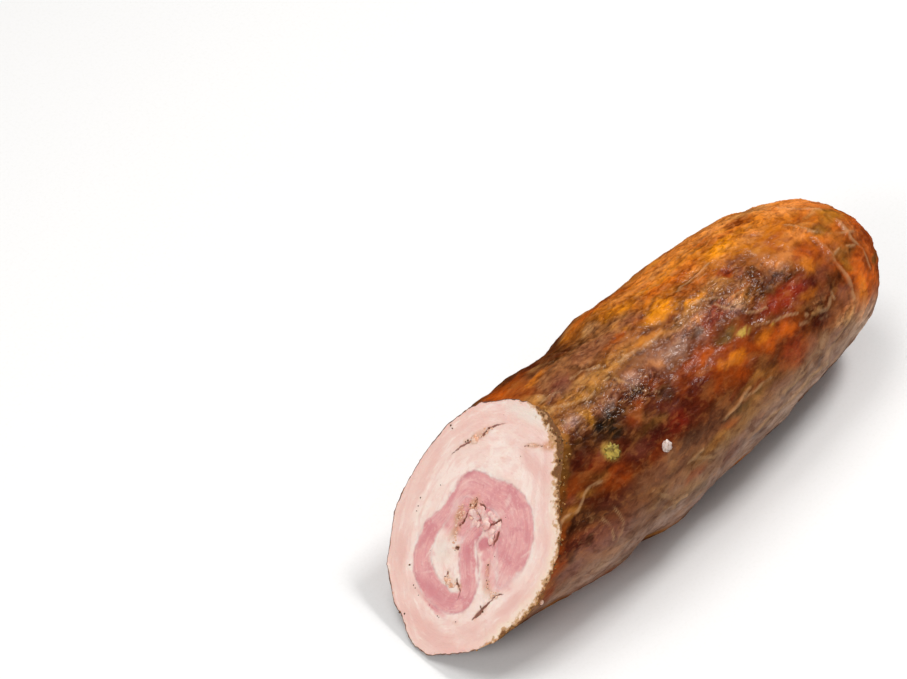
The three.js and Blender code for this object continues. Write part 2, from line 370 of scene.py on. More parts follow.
PIGMENTS = {
    "brown": "6a3614",
    "umber": "40200c",
    "rust": "964208",
    "orange": "c05e0e",
    "amber": "d27e18",
    "yellow": "e0900e",
    "peach": "d88f52",
    "red": "86240a",
    "maroon": "541a0b",
    "smoke": "84583a",
    # Partly painted light: this grey is a stain colour, and low on the near flank it also paints the
    # reflection of the pale floor.
    "ash_and_reflection": "a07c62",
    # Painted light: a pale wash that paints the reflection and bounce light of the pale floor on the
    # underside.
    "painted_floor_reflection": "c8ab92",
    # A stain colour that on the top also stands in for painted sheen.
    "violet_and_sheen": "804d3e",
    "green_black": "281703",
    "olive": "67491a",
    "ochre": "a47032",
    "gold": "ac761e",
    "tan": "b48c5a",
    "straw": "bca04e",
    # Painted sheen: a pale lilac reflection on the top and the underside.
    "painted_sheen": "bdaaa2",
}
print(len(PIGMENTS), "pigments")

# %% Broad stains
# Pigment, place along the roll, angle, half-length, half-width round, strength
# The grey ash and pale film washes low on the near flank are painted reflection of the pale floor, and the
# violet ones are partly painted sheen.
BROAD_STAINS = [
    ("smoke", 10, -6, 130, 22, 0.8), ("smoke", -80, 110, 60, 30, 0.5), ("amber", 84, 122, 78, 28, 1),
    ("orange", 134, 60, 27, 62, 1), ("amber", 112, 88, 30, 24, 0.9), ("smoke", -16, 106, 30, 11, 1),
    ("ochre", -26, 86, 32, 5.5, 1), ("violet_and_sheen", 20, 73, 34, 6.5, 0.9), ("maroon", -22, 42, 30, 12, 0.75),
    ("umber", -44, 62, 24, 8, 0.9), ("rust", 34, 46, 30, 13, 0.85), ("smoke", 40, 8, 62, 9, 0.8),
    ("violet_and_sheen", -62, 6, 28, 13, 0.8), ("orange", -52, 124, 12, 17, 1), ("ochre", -4, 4, 20, 8, 0.5),
    ("violet_and_sheen", -22, 18, 12, 9, 0.8), ("umber", -66, 26, 22, 5, 0.7), ("maroon", -12, 47, 26, 8, 0.6),
    ("ash_and_reflection", 16, -11, 140, 13, 0.85), ("ash_and_reflection", -6, 4, 120, 10, 0.35), ("ash_and_reflection", 112, 0, 30, 12, 0.5),
    ("peach", 96, 130, 60, 16, 0.55), ("peach", 140, 108, 18, 18, 0.5), ("umber", -30, 58, 16, 5, 0.4),
    ("rust", 12, 56, 12, 7, 0.6), ("orange", 68, 24, 13, 8, 0.35), ("ash_and_reflection", 88, 11, 18, 8, 0.5),
    ("ash_and_reflection", 112, 14, 14, 12, 0.55), ("painted_floor_reflection", 92, -11, 50, 10, 0.6), ("painted_floor_reflection", 112, 0, 16, 8, 0.4),
    ("maroon", -12, 56, 22, 9, 0.4), ("umber", -62, 38, 14, 7, 0.5), ("smoke", -24, 24, 26, 6, 0.5),
    ("ochre", 40, 25, 24, 5, 0.4), ("violet_and_sheen", 104, 24, 14, 6, 0.4), ("ochre", 36, 12, 26, 6, 0.4),
    ("tan", 112, 10, 22, 9, 0.45), ("peach", 92, 120, 14, 6, 0.7), ("tan", 116, 121, 14, 8, 0.6),
    ("painted_floor_reflection", 64, -12, 34, 9, 0.5), ("painted_floor_reflection", 124, -8, 14, 16, 0.6), ("tan", 40, 14, 90, 7, 0.3),
    ("ash_and_reflection", 20, 0, 110, 8, 0.35), ("painted_floor_reflection", -28, -2, 12, 4, 0.4), ("peach", 124, 108, 16, 8, 0.3),
    ("smoke", -30, 112, 30, 12, 0.35), ("umber", -16, 118, 22, 4, 0.4), ("maroon", -20, 44, 34, 8, 0.4),
]
print(len(BROAD_STAINS), "broad stains")

# %% Stains of the photo's far flank and top
# The violet washes here stand partly for painted sheen.
FLANK_STAINS = [
    ("rust", -42, 131, 13, 7, 0.7), ("amber", -40, 114, 9, 3, 0.6), ("maroon", -29, 131, 6, 4, 0.95),
    ("umber", -38, 139, 5, 4, 0.6), ("olive", -62, 142, 7, 6, 0.6), ("maroon", -17, 119, 9, 3, 0.9),
    ("umber", -25, 116, 5, 2.6, 0.8), ("umber", -9, 114, 9, 3, 0.6), ("umber", -15, 128, 6, 4, 0.6),
    ("tan", 1, 118, 4, 3.4, 0.6), ("tan", -30, 124, 4, 2.4, 0.5), ("umber", 7, 121, 4, 3, 0.5),
    ("umber", 10, 110, 7, 5, 0.6), ("violet_and_sheen", 12, 101, 7, 5, 0.8), ("violet_and_sheen", -37, 97, 8, 3.4, 0.8),
    ("umber", -25, 100, 2, 3, 0.7), ("orange", -3, 97, 6, 2.4, 0.6), ("rust", 2, 96, 3.4, 1.4, 0.9),
    ("peach", 4, 91, 11, 2.6, 0.4), ("tan", -52, 101, 4, 4, 0.7), ("rust", -50, 108, 6, 3, 0.5),
    ("tan", -55, 91, 5, 3, 0.6), ("gold", -44, 74, 2.6, 5, 0.9), ("ochre", -20, 79, 2.2, 6, 0.8),
    ("ochre", 2, 84, 18, 2.2, 0.9), ("umber", 2, 87, 14, 0.8, 0.5), ("tan", -30, 89, 10, 2, 0.5),
    ("gold", -36, 82, 7, 1.4, 0.6), ("umber", -34, 79.5, 6, 0.9, 0.6),
    ("orange", 24, 133, 26, 5, 0.9), ("orange", 60, 128, 20, 4, 0.4), ("yellow", 16, 114, 9, 4, 0.6),
    ("orange", 44, 106, 22, 4, 0.8), ("rust", 60, 104, 13, 2.4, 0.45), ("peach", 40, 121, 22, 3, 0.5),
    ("yellow", 80, 102, 13, 5, 0.95), ("peach", 96, 97, 14, 4, 0.6), ("orange", 86, 110, 10, 3, 0.7),
    ("rust", 84, 118, 6, 3, 0.5), ("rust", 103, 113, 10, 5, 0.95), ("peach", 124, 106, 12, 5, 0.5),
    ("yellow", 26, 95, 11, 4, 1), ("yellow", 43, 84.5, 9, 1.5, 0.9), ("yellow", 34, 90, 8, 3, 0.6),
    ("rust", 15, 97, 4, 2, 0.7), ("rust", 50, 93, 15, 4, 0.7), ("umber", 50, 96, 11, 0.7, 0.6),
    ("umber", 54, 91, 9, 0.7, 0.5), ("ochre", 58, 83, 11, 3, 0.8), ("red", 67, 88, 6.5, 3, 0.95),
    ("violet_and_sheen", 75, 89, 4, 2, 0.7), ("smoke", 67, 77, 8, 3.4, 0.95), ("umber", 77, 77, 5, 2.4, 0.85),
    ("violet_and_sheen", 72, 82, 5, 2, 0.7), ("peach", 84, 80, 5, 5, 0.5), ("gold", 141, 82, 9, 7, 0.8),
    ("amber", 8, 85, 12, 2.4, 0.6), ("ochre", 34, 82, 14, 2.4, 0.7), ("umber", 30, 101, 9, 1.2, 0.5),
    ("olive", 127, 74, 5, 4, 0.7), ("olive", 142, 86, 3, 3, 0.7), ("tan", 132, 90, 8, 2, 0.6),
    ("umber", 100, 104, 8, 1.4, 0.5), ("umber", 72, 114, 12, 1.4, 0.5), ("rust", 30, 125, 12, 2, 0.5),
]
print(len(FLANK_STAINS), "stains on the flank")

# %% Stains of the photo's middle
# The violet washes on the top stand partly for painted sheen.
MIDDLE_STAINS = [
    ("violet_and_sheen", -54, 77, 7, 3, 0.9), ("tan", -52, 78, 4, 1.4, 0.4), ("violet_and_sheen", -33, 74, 9, 3, 0.8),
    ("violet_and_sheen", -13, 73, 8, 5, 0.8), ("green_black", -38, 65, 10, 6, 1), ("green_black", -34, 57, 8, 4, 0.9),
    ("umber", -18, 64, 10, 3.4, 0.8), ("maroon", -60, 57, 8, 5, 0.8), ("rust", -23, 58, 7, 4, 0.6),
    ("umber", -5, 57, 7, 3.4, 0.8), ("olive", -20, 47, 8, 3, 0.7), ("maroon", -26, 42, 8, 4, 0.8),
    ("red", -9, 40, 7, 5, 0.5), ("maroon", 6, 38, 10, 4, 0.7), ("red", -55, 50, 7, 4, 0.4),
    ("rust", -50, 38, 9, 5, 0.55), ("rust", -71, 43, 9, 4, 0.6),
    ("ochre", -65, 38, 6, 2.4, 0.6), ("umber", -72, 25, 12, 4, 0.9), ("maroon", -54, 27, 11, 5, 0.8),
    ("ochre", -79, 31, 9, 2.4, 0.9), ("tan", -22, 25, 4, 6, 0.25), ("umber", -6, 29, 12, 4, 0.7),
    ("smoke", 12, 70, 11, 4, 0.8), ("red", 41, 71, 8, 4, 0.7), ("smoke", 27, 79, 5, 3, 0.6),
    ("umber", 32, 70, 3, 3, 0.5), ("violet_and_sheen", 54, 68, 5, 4, 0.9), ("ochre", 62, 70, 8, 4, 1),
    ("umber", 73, 66, 4, 4, 0.8), ("smoke", 86, 68, 9, 2.6, 0.95), ("umber", 85, 65, 8, 1.1, 1),
    ("green_black", 89, 61, 5, 1.2, 0.7), ("rust", 20, 60, 12, 2.4, 0.9), ("orange", 24, 57, 8, 2.2, 0.7),
    ("olive", 42, 58, 7, 2.4, 1), ("straw", 48.6, 54.4, 4.4, 1.0, 0.9), ("straw", 53, 52, 3, 0.7, 0.8),
    ("straw", 63, 45, 3.4, 0.8, 0.7), ("straw", -44.6, 50.4, 4.4, 4, 0.7),
    ("maroon", 14, 46, 8, 4, 0.9), ("amber", 37, 46.5, 5.4, 3, 0.8), ("amber", 29, 47, 3, 2.4, 0.6),
    ("umber", 18, 34, 12, 2.2, 0.6), ("umber", 46, 35, 7, 4, 0.75),
    ("ochre", 40, 29, 12, 2.4, 0.6), ("orange", 66, 39, 14, 4, 0.8), ("amber", 57, 44, 6, 3, 0.7),
    ("red", 74, 55, 16, 4.6, 1), ("red", 85, 52, 14, 6, 1), ("maroon", 89, 46, 10, 4, 0.7),
    ("maroon", 96, 52, 6, 3.4, 0.8), ("orange", 107, 66, 11, 7, 0.9), ("amber", 101, 60, 6, 4, 0.8),
    ("gold", 124, 75, 6, 6, 0.7), ("gold", 127, 51, 8, 5, 0.8), ("rust", 119, 90, 5, 2.4, 0.5),
    ("peach", 109, 79, 10, 4, 0.5), ("umber", 116, 55, 3, 5, 0.4), ("orange", 62, 72, 9, 3, 0.5),
    ("peach", 91, 73, 9, 4, 0.6), ("red", 48, 73, 6, 4, 0.5), ("umber", -30, 49, 12, 5, 0.35),
    ("maroon", 6, 48, 10, 5, 0.4), ("peach", 2, 72, 5, 2.4, 0.4), ("peach", 34, 76, 4, 2, 0.4),
]
print(len(MIDDLE_STAINS), "stains in the middle")

# %% Stains of the photo's near flank
# The grey ash, pale film and violet washes here are partly painted reflection of the pale floor.
LOW_STAINS = [
    ("violet_and_sheen", -66, 8, 15, 8, 0.7), ("maroon", -82, 15, 8, 4, 0.9), ("violet_and_sheen", -87, 1, 9, 6, 0.8),
    ("rust", -94, 9, 7, 4, 0.95), ("rust", -101, -4, 6, 7, 0.9), ("umber", -72, 13, 3, 2, 0.8),
    ("umber", -84, 9, 4, 3, 0.6), ("tan", -36, 8, 8, 3, 0.5), ("smoke", -35, 2, 12, 6, 0.7),
    ("ochre", -18, 2, 11, 4, 0.6), ("rust", -8, 7, 8, 3, 0.8), ("olive", -6, -8, 6, 5, 0.8),
    ("tan", -12, -2, 9, 2.4, 0.5), ("ochre", 4, 16, 12, 3, 0.8), ("tan", 11, 10, 7, 2.4, 0.5),
    ("rust", 17, 18, 6, 2.4, 0.8), ("olive", 31, 21, 12, 2.4, 0.8), ("red", 67, 25, 9, 7, 1),
    ("violet_and_sheen", 79, 21, 8, 5, 0.9), ("maroon", 91, 29, 8, 3, 1), ("tan", 91, 35, 8, 1.2, 0.7),
    ("smoke", 98, 40, 7, 2.4, 0.7), ("umber", 88, 39, 4, 2, 0.7), ("umber", 110, 42, 5, 7, 0.95),
    ("violet_and_sheen", 112, 30, 6, 6, 0.95), ("maroon", 107, 26, 2.6, 5, 0.9), ("tan", 112, 16, 6, 1.6, 0.7),
    ("umber", 110, 21, 4, 1.2, 0.9), ("rust", 118, 14, 3, 4, 0.6), ("violet_and_sheen", 100, 10, 10, 5, 0.7),
    ("umber", 62, 9, 8, 1.2, 0.8), ("umber", 58, 5, 5, 1, 0.6), ("tan", 78, -2, 18, 2.4, 0.6),
    ("umber", 88, 3, 2, 7, 0.8), ("violet_and_sheen", 20, -4, 10, 7, 0.7), ("umber", 40, -10, 6, 5, 0.7),
    ("tan", 98, 4, 9, 2.2, 0.5), ("tan", 40, -2, 12, 2.4, 0.35), ("violet_and_sheen", 52, 14, 14, 4, 0.6),
    ("rust", 36, 26, 10, 2, 0.4), ("orange", 130, 28, 8, 20, 1), ("amber", 127, 18, 4, 13, 0.8),
    ("rust", 138, 38, 6, 7, 0.9), ("gold", 122, 44, 4, 5, 0.8), ("peach", 122, 7, 5, 7, 0.6),
    ("olive", 147, 28, 4, 5, 0.9), ("rust", 150, 50, 4, 6, 0.6), ("peach", 141, 60, 3, 8, 0.4),
]
print(len(LOW_STAINS), "stains on the near flank")

# %% Last thin washes
# Painted sheen, pale lilac, on the underside and along the top, gold and brown tints on the far flank, and
# small corrections
LAST_WASHES = [
    ("painted_sheen", 20, -15, 150, 9, 0.42), ("painted_sheen", 84, 2, 56, 13, 0.28), ("painted_sheen", -20, 0, 90, 9, 0.14),
    ("peach", 112, 22, 16, 9, 0.3), ("peach", 70, 24, 16, 5, 0.2), ("gold", 60, 114, 100, 26, 0.2),
    ("tan", -4, 79, 60, 8, 0.2), ("ash_and_reflection", -10, 24, 56, 7, 0.2), ("tan", 60, 14, 60, 8, 0.12),
    ("brown", 110, 76, 36, 24, 0.24), ("violet_and_sheen", -38, 97, 9, 7, 0.4), ("ash_and_reflection", -40, 93, 6, 4, 0.3),
    ("violet_and_sheen", -12, 104, 14, 6, 0.4), ("smoke", 8, 106, 9, 7, 0.45), ("ash_and_reflection", 3, 117, 5, 4, 0.3),
    ("umber", -50, 118, 9, 11, 0.35), ("olive", -46, 127, 6, 6, 0.3), ("yellow", 28, 95, 10, 3.4, 0.6),
    ("gold", 140, 80, 10, 8, 0.6), ("olive", 127, 76, 8, 6, 0.5), ("olive", 128, 53, 10, 8, 0.5),
    ("umber", 133, 52, 5, 4, 0.35), ("ochre", 130, 64, 9, 5, 0.4), ("maroon", 144, 50, 6, 7, 0.3),
    ("ochre", 64, 69, 9, 4, 0.6), ("tan", 60, 67, 5, 2.4, 0.3), ("yellow", 42, 84, 8, 1.6, 0.5),
    ("rust", 77, 54, 10, 3.6, 0.4), ("rust", 106, 86, 7, 2, 0.45), ("umber", 105, 73, 5, 1.6, 0.45),
    ("rust", 96, 84, 2, 8, 0.4), ("umber", 117, 88, 5, 1.4, 0.4), ("rust", 112, 62, 6, 3, 0.35),
    ("brown", 132, 58, 22, 32, 0.3), ("brown", 62, 104, 84, 20, 0.14), ("maroon", 150, 52, 8, 12, 0.3),
    ("umber", 128, 50, 7, 4, 0.35), ("rust", 124, 92, 5, 1.6, 0.4), ("umber", 133, 96, 4, 1.2, 0.35),
    ("rust", 141, 94, 3, 4, 0.4), ("rust", 76, 44, 12, 2.4, 0.4), ("amber", 92, 46, 8, 2.4, 0.35),
    ("painted_sheen", -51, 76, 5, 3, 0.3), ("painted_sheen", -33, 71, 6, 2, 0.25), ("painted_sheen", -14, 71, 7, 4, 0.3),
    ("painted_sheen", 15, 71, 7, 4, 0.25), ("painted_sheen", 31, 67, 4, 4, 0.2), ("painted_sheen", 56, 68, 6, 4, 0.25),
]
print(len(LAST_WASHES), "last washes")

# %% Small stains, and those of the hidden side
HIDDEN_STAINS = 120
HIDDEN_KINDS = ["orange", "amber", "rust", "smoke", "violet_and_sheen", "brown", "umber", "maroon", "ochre"]
SMALL_STAINS = [
    # kinds, places along the roll, angles, how many
    (["peach", "orange", "rust", "yellow", "amber", "tan"], (0, 150), (84, 150), 90),
    (["maroon", "umber", "rust", "brown", "violet_and_sheen", "olive"], (-80, 110), (18, 72), 90),
    (["smoke", "tan", "umber", "violet_and_sheen", "ash_and_reflection", "olive"], (-100, 130), (-40, 16), 80),
]
rng = np.random.default_rng(7)

small = []
for kinds, places, angles, count in SMALL_STAINS:
    for _ in range(count):
        size = rng.uniform(1.5, 4)
        kind = kinds[rng.integers(len(kinds))]
        at = rng.uniform(*places)
        towards = rng.uniform(*angles)
        small.append((kind, at, towards, 2 * size, size, rng.uniform(0.2, 0.55)))
hidden = []
for _ in range(HIDDEN_STAINS):
    kind = HIDDEN_KINDS[rng.integers(len(HIDDEN_KINDS))]
    at = rng.uniform(-118, 156)
    towards = rng.uniform(150, 334)
    hidden.append((kind, at, towards, rng.uniform(7, 30), rng.uniform(3, 9), rng.uniform(0.3, 0.8)))
print(len(small), "small stains, and", len(hidden), "for the hidden side")

# %% Lay the washes
EDGE_WANDER = 3.4
EDGE_FRAY = 1.5
THIN_SPOTS = 0.3


def wash(under, kind, cover):
    """Lays one pigment over the skin's colours, as strongly as cover says at each point."""
    return under * (1 - cover[..., None]) + np.array(linear(PIGMENTS[kind])) * cover[..., None]


pushed_x = grid_x + EDGE_WANDER * ripple(skin, 16, 4) + EDGE_FRAY * ripple(skin + 90, 3.6)
pushed_arc = EDGE_WANDER * ripple(skin + 200, 16, 4) + EDGE_FRAY * ripple(skin + 300, 3.6)
thin = 1 - THIN_SPOTS * smoothstep(ripple(skin + 400, (5, 3, 3), 4), -0.3, 0.35)
stain = np.zeros(grid_x.shape + (4,))
stain[:] = linear(PIGMENTS["brown"])
placed = FLANK_STAINS + MIDDLE_STAINS + LOW_STAINS + LAST_WASHES
for kind, *oval, strength in BROAD_STAINS + hidden + small + placed:
    cover = soft_spot(*oval, 0.4, 1.35, pushed_x, 0.7 * pushed_arc)
    stain = wash(stain, kind, strength * thin * cover)
print("mean stain", stain.mean(axis=(0, 1))[:3].round(3))

# %% [markdown]
# ## Dried rim, painted highlights on the tops and painted shade in the hollows
# Just behind the rim the rind has dried and taken on a tint of its own on each side. The tops of the
# wrinkles get a painted highlight, and the hollows and the furrows beside the creases get painted shade, so
# the skin's own relief lightens and darkens the stain. A power a little over 1 deepens the dye: dark places
# get darker and pure colours purer, as when a stained surface is wetted.

# %% Tint, dye, painted highlight and painted shade
RIM_BAND = 3.6
RIM_BAND_WANDER = 5
RIM_TINTS = [("ochre", 84), ("olive", 46), ("rust", 8), ("tan", -24)]
TINT_STRENGTH = 0.55
TINT_REACH = (12, 30)
TOP_HIGHLIGHT = 0.35
HOLLOW_SHADE = 0.32
FURROW_SHADE = 1.2
DEPTH_OF_DYE = 1.14
BRIGHTNESS = 1.25

behind_rim = grid_x - rim_x + RIM_BAND_WANDER * ripple(skin + 500, 5, 4)
rim_band = 1 - smoothstep(behind_rim, 0.4 * RIM_BAND, 1.4 * RIM_BAND)
for kind, towards in RIM_TINTS:
    side = 1 - smoothstep(np.abs(arc_between(grid_angle, towards)), *TINT_REACH)
    stain = wash(stain, kind, TINT_STRENGTH * side * rim_band)
# Painted highlight on the tops of the wrinkles, and painted shade in the hollows and in the furrows beside
# the creases
tops = smoothstep(lift, 0.12, 0.4)[..., None]
hollows = (smoothstep(-lift, 0.0, 0.16) + FURROW_SHADE * furrow)[..., None]
stain[..., :3] = BRIGHTNESS * stain[..., :3] ** DEPTH_OF_DYE
stain[..., :3] *= 1 + TOP_HIGHLIGHT * tops - HOLLOW_SHADE * hollows
print("mean stain", stain.mean(axis=(0, 1))[:3].round(3))

# %% [markdown]
# ## Wet spots
# Here and there juice has soaked the film. There it is glossy, and crumpled like thin clear wrapping.
# A second material with a border would look like a patch, so each point of the skin keeps one number
# for its wetness instead, and the casing's material reads it for its coat and its crumpled facets.

# %% Where the film is wet
# Place along the roll, angle, half-length, half-width round, strength
WET_SPOTS = [
    (-56, 78, 7, 4, 0.5), (-42, 76, 6, 4, 0.6), (-33, 73, 6, 4, 0.9), (-13, 67, 6, 5, 1),
    (18, 70, 6, 3, 0.4), (-4, 75, 5, 2, 0.5), (-28, 66, 8, 3, 0.6), (27, 80, 4, 4, 0.8),
    (33, 67, 3, 3, 0.7), (-24, 84, 5, 2, 0.4), (34, 78, 8, 5, 0.5), (47, 82, 9, 5, 0.9),
    (58, 72, 9, 7, 1), (74, 74, 9, 5, 0.7), (88, 78, 6, 4, 0.4), (14, 92, 6, 3, 0.7),
    (-58, 60, 8, 4, 0.4), (-92, 30, 5, 6, 0.5), (60, 54, 7, 4, 0.5), (100, 60, 7, 4, 0.3),
]
wetness = np.zeros(grid_x.shape)
for *oval, strength in WET_SPOTS:
    cover = soft_spot(*oval, 0.4, 1.6, pushed_x, 0.5 * pushed_arc)
    wetness = np.maximum(wetness, strength * cover)
print("mean wetness of the skin:", wetness.mean().round(3))

# %% [markdown]
# ## The lean layer's outline
# In the section the lean layer is a band that curls inwards like a snail. Its middle line is a smooth
# curve through a few places chosen on the real cut, with half its thickness at each. The outline is
# that curve moved aside by the half thickness to both sides, with round ends. This is the same curve
# as in the CAD model, with closer points.

# %% The curl
LEAN_CURL = [
    (17.6, 39.4, 3.2), (17.6, 43.5, 6.4), (16.8, 49, 8.8), (12.4, 56.4, 8.6), (2.5, 61, 6),
    (-9, 59.6, 4.9), (-19.6, 57.4, 4.5), (-23.6, 50.6, 2.8), (-24.4, 43.8, 2.9),
    (-27.4, 35.6, 4.4), (-24.4, 26.6, 4.5), (-17.4, 22.4, 4.4), (-9, 21, 4.1), (-1, 21.6, 3.7),
    (4.4, 25.4, 4.3), (3.4, 31.6, 4.7), (-2.4, 36.8, 4.5), (-6.4, 41.8, 3.8), (-5.2, 46.4, 2.9),
]
CURL_STEPS = 92
END_STEPS = 7


def smooth_path(stops, count, samples=24):
    """Evenly spaced points on a centripetal Catmull-Rom curve through the stops."""
    stops = np.array(stops, float)
    ends = np.vstack([2 * stops[0] - stops[1], stops, 2 * stops[-1] - stops[-2]])
    curve = [stops[0]]
    for p0, p1, p2, p3 in zip(ends, ends[1:], ends[2:], ends[3:]):
        t1 = np.linalg.norm(p1 - p0) ** 0.5
        t2 = t1 + np.linalg.norm(p2 - p1) ** 0.5
        t3 = t2 + np.linalg.norm(p3 - p2) ** 0.5
        for t in np.linspace(t1, t2, samples + 1)[1:]:
            a1 = ((t1 - t) * p0 + t * p1) / t1
            a2 = ((t2 - t) * p1 + (t - t1) * p2) / (t2 - t1)
            a3 = ((t3 - t) * p2 + (t - t2) * p3) / (t3 - t2)
            b1 = ((t2 - t) * a1 + t * a2) / t2
            b2 = ((t3 - t) * a2 + (t - t1) * a3) / (t3 - t1)
            curve.append(((t2 - t) * b1 + (t - t1) * b2) / (t2 - t1))
    curve = np.array(curve)
    travelled = np.concatenate([[0], np.cumsum(np.linalg.norm(np.diff(curve, axis=0), axis=1))])
    wanted = np.linspace(0, travelled[-1], count + 1)
    return np.stack([np.interp(wanted, travelled, curve[:, k]) for k in range(curve.shape[1])], axis=1)


middle = smooth_path(LEAN_CURL, CURL_STEPS)
heading = np.gradient(middle[:, :2], axis=0)
heading /= np.linalg.norm(heading, axis=1, keepdims=True)


def beside(index, turn):
    """The outline's point at a step of the middle line, that way round from its heading."""
    c, s = math.cos(turn), math.sin(turn)
    h, v = heading[index]
    return middle[index, :2] + middle[index, 2] * np.array([c * h - s * v, s * h + c * v])


quarter = math.pi / 2
arc = [math.pi * k / END_STEPS for k in range(1, END_STEPS)]
lean_outline = np.array(
    [beside(i, -quarter) for i in range(CURL_STEPS + 1)]
    + [beside(CURL_STEPS, -quarter + turn) for turn in arc]
    + [beside(i, quarter) for i in range(CURL_STEPS, -1, -1)]
    + [beside(0, quarter + turn) for turn in arc]
)
print("lean outline:", len(lean_outline), "points")

# %% [markdown]
# ## Cracks where the turns have come apart
# Rolled belly never bonds everywhere. On the cut this shows as a broken spiral line: an open crack at
# the upper left, a dark one at the lower right, torn holes in the core and small nicks between them.
# Each crack is a path with a half-width and a depth at each place, and the cut face sinks along it.

# %% The cracks
# Right and up in the section, half-width and how deep the real crack looks, all in millimetres
CRACKS = [
    [(-14.6, 82.4, 0.2, 0.2), (-17.7, 81.3, 0.3, 0.7), (-20, 79.6, 0.35, 1.0), (-21.8, 78.1, 0.4, 1.2),
     (-23.8, 76.6, 0.45, 1.6), (-23.9, 74.6, 0.8, 2.2), (-25.2, 72.8, 0.5, 1.2)],
    [(-26.6, 70.4, 0.4, 1.0), (-28, 69.6, 0.7, 2.2), (-29.5, 69, 0.5, 1.8), (-31, 67, 0.35, 1.2),
     (-32.5, 65.6, 0.35, 1.2), (-34.4, 62.6, 0.3, 1.0), (-36.2, 59.4, 0.2, 0.4)],
    [(13.4, 22.2, 0.3, 1.0), (14.4, 23.8, 0.7, 2.6), (15.2, 25.8, 1.1, 3.4), (15.8, 27.6, 0.6, 2.4),
     (16.6, 29.6, 0.45, 1.8), (17.4, 30.8, 0.25, 0.8)],
    [(13.6, 27.8, 0.35, 0.8), (14.6, 27.2, 0.45, 1.4), (15.6, 27, 0.3, 1.0)],
    [(17.4, 31, 0.25, 0.8), (18.2, 33.2, 0.35, 1.0), (19.6, 34.8, 0.4, 1.6), (22, 36, 0.25, 0.4)],
    [(-2.6, 79.8, 0.5, 1.0), (-1.4, 80.8, 0.3, 0.5), (0.9, 81.9, 0.25, 0.3), (4.4, 83.2, 0.5, 0.8),
     (6, 84, 0.25, 0.2)],
    [(-1.9, 78.9, 0.2, 0.3), (-1.3, 77.4, 0.3, 0.5), (-1.4, 76, 0.2, 0.2)],
    [(-9.8, 54.7, 0.5, 1.2), (-8.3, 54.5, 0.95, 2.6), (-6.6, 54.2, 0.5, 1.4)],
    [(-12.8, 55.2, 0.4, 1.0), (-12.1, 53.4, 0.9, 1.8), (-11.4, 51.8, 0.5, 1.2)],
    [(-14, 50, 0.35, 1.0), (-13.4, 47.8, 0.5, 1.8), (-13.9, 45.6, 0.75, 2.4), (-14.4, 44.2, 0.4, 1.0)],
    [(-1.2, 50.4, 0.3, 0.8), (1.2, 52.4, 0.4, 1.4), (3, 54.6, 0.8, 2.6), (4.2, 54.2, 0.4, 1.2)],
    [(5.4, 51.4, 0.4, 1.2), (5.7, 49.6, 0.85, 2.4), (5.4, 47.6, 0.6, 1.6), (6, 46, 0.25, 0.5)],
    [(-10.9, 37.5, 0.7, 1.8), (-9.7, 37.9, 0.7, 1.8)],
    [(-9.2, 29.2, 0.5, 1.6), (-8.4, 28, 0.5, 1.4)],
    [(-3.2, 29.6, 0.3, 1.0), (-2.4, 28.4, 0.55, 1.8), (-0.9, 28.2, 0.4, 1.2), (1.2, 26.6, 0.3, 1.0),
     (1.6, 24.4, 0.25, 0.7), (0.4, 22, 0.2, 0.3)],
    [(-23.4, 36.6, 0.2, 0.3), (-22.4, 33, 0.25, 0.4), (-21.2, 29.6, 0.25, 0.4), (-18.6, 27.2, 0.2, 0.2)],
    [(6.6, 46, 0.2, 0.3), (8.4, 41, 0.3, 0.6), (11, 36.4, 0.3, 0.6), (14, 33.6, 0.2, 0.4)],
]
cracks = [np.array(places) for places in CRACKS]
print(len(cracks), "cracks")

# %% [markdown]
# ## Points and triangles of the cut
# The face of the cut needs points that are close enough for cracks and meat grain, with edges along
# the rim and the lean layer's outline, so that fat and lean meet without a gap. A constrained
# Delaunay triangulation does just that: it takes loose points and fixed edges and makes triangles.

# %% Points of the cut face
FACE_STEP = 0.62
CRACK_STEP = 0.3
CRACK_REACH = 1.7
CORE = ((-4, 50), (14, 7))
KEEP_OFF = 0.32
ROW_GAP = 0.87
JITTER = 0.2


def inside(points, outline):
    """True where a point lies inside a closed outline."""
    crossings = np.zeros(len(points), int)
    for (h1, v1), (h2, v2) in zip(outline, np.roll(outline, -1, axis=0)):
        spans = (v1 > points[:, 1]) != (v2 > points[:, 1])
        slope = (h2 - h1) / (v2 - v1) if v2 != v1 else 0
        crossings += spans & (points[:, 0] < h1 + (points[:, 1] - v1) * slope)
    return crossings % 2 == 1


def jittered(low, high, step):
    """A grid of points over a rectangle, each moved a little at random."""
    across = np.arange(low[0], high[0], step)
    upward = np.arange(low[1], high[1], step * ROW_GAP)
    grid = np.stack(np.meshgrid(across, upward), axis=-1)
    grid[1::2, :, 0] += step / 2
    return grid.reshape(-1, 2) + rng.uniform(-JITTER, JITTER, (grid.size // 2, 2)) * step


def needs_detail(points):
    """True near a crack and in the torn core."""
    distance = np.min([nearest_on_path(points, crack)[0] for crack in cracks], axis=0)
    in_core = np.hypot(*((points - CORE[0]) / CORE[1]).T) < 1
    return (distance < CRACK_REACH) | in_core


closed_rim = np.vstack([rim, rim[:1]])
closed_lean = np.vstack([lean_outline, lean_outline[:1]])
coarse = jittered(rim.min(axis=0), rim.max(axis=0), FACE_STEP)
fine = jittered(rim.min(axis=0), rim.max(axis=0), CRACK_STEP)
coarse = coarse[~needs_detail(coarse)]
fine = fine[needs_detail(fine)]
loose = np.vstack([coarse, fine])
loose = loose[inside(loose, rim)]
loose = loose[nearest_on_path(loose, closed_rim)[0] > KEEP_OFF]
loose = loose[nearest_on_path(loose, closed_lean)[0] > KEEP_OFF]
print(len(loose), "loose points,", len(fine), "of them close to cracks and in the core")

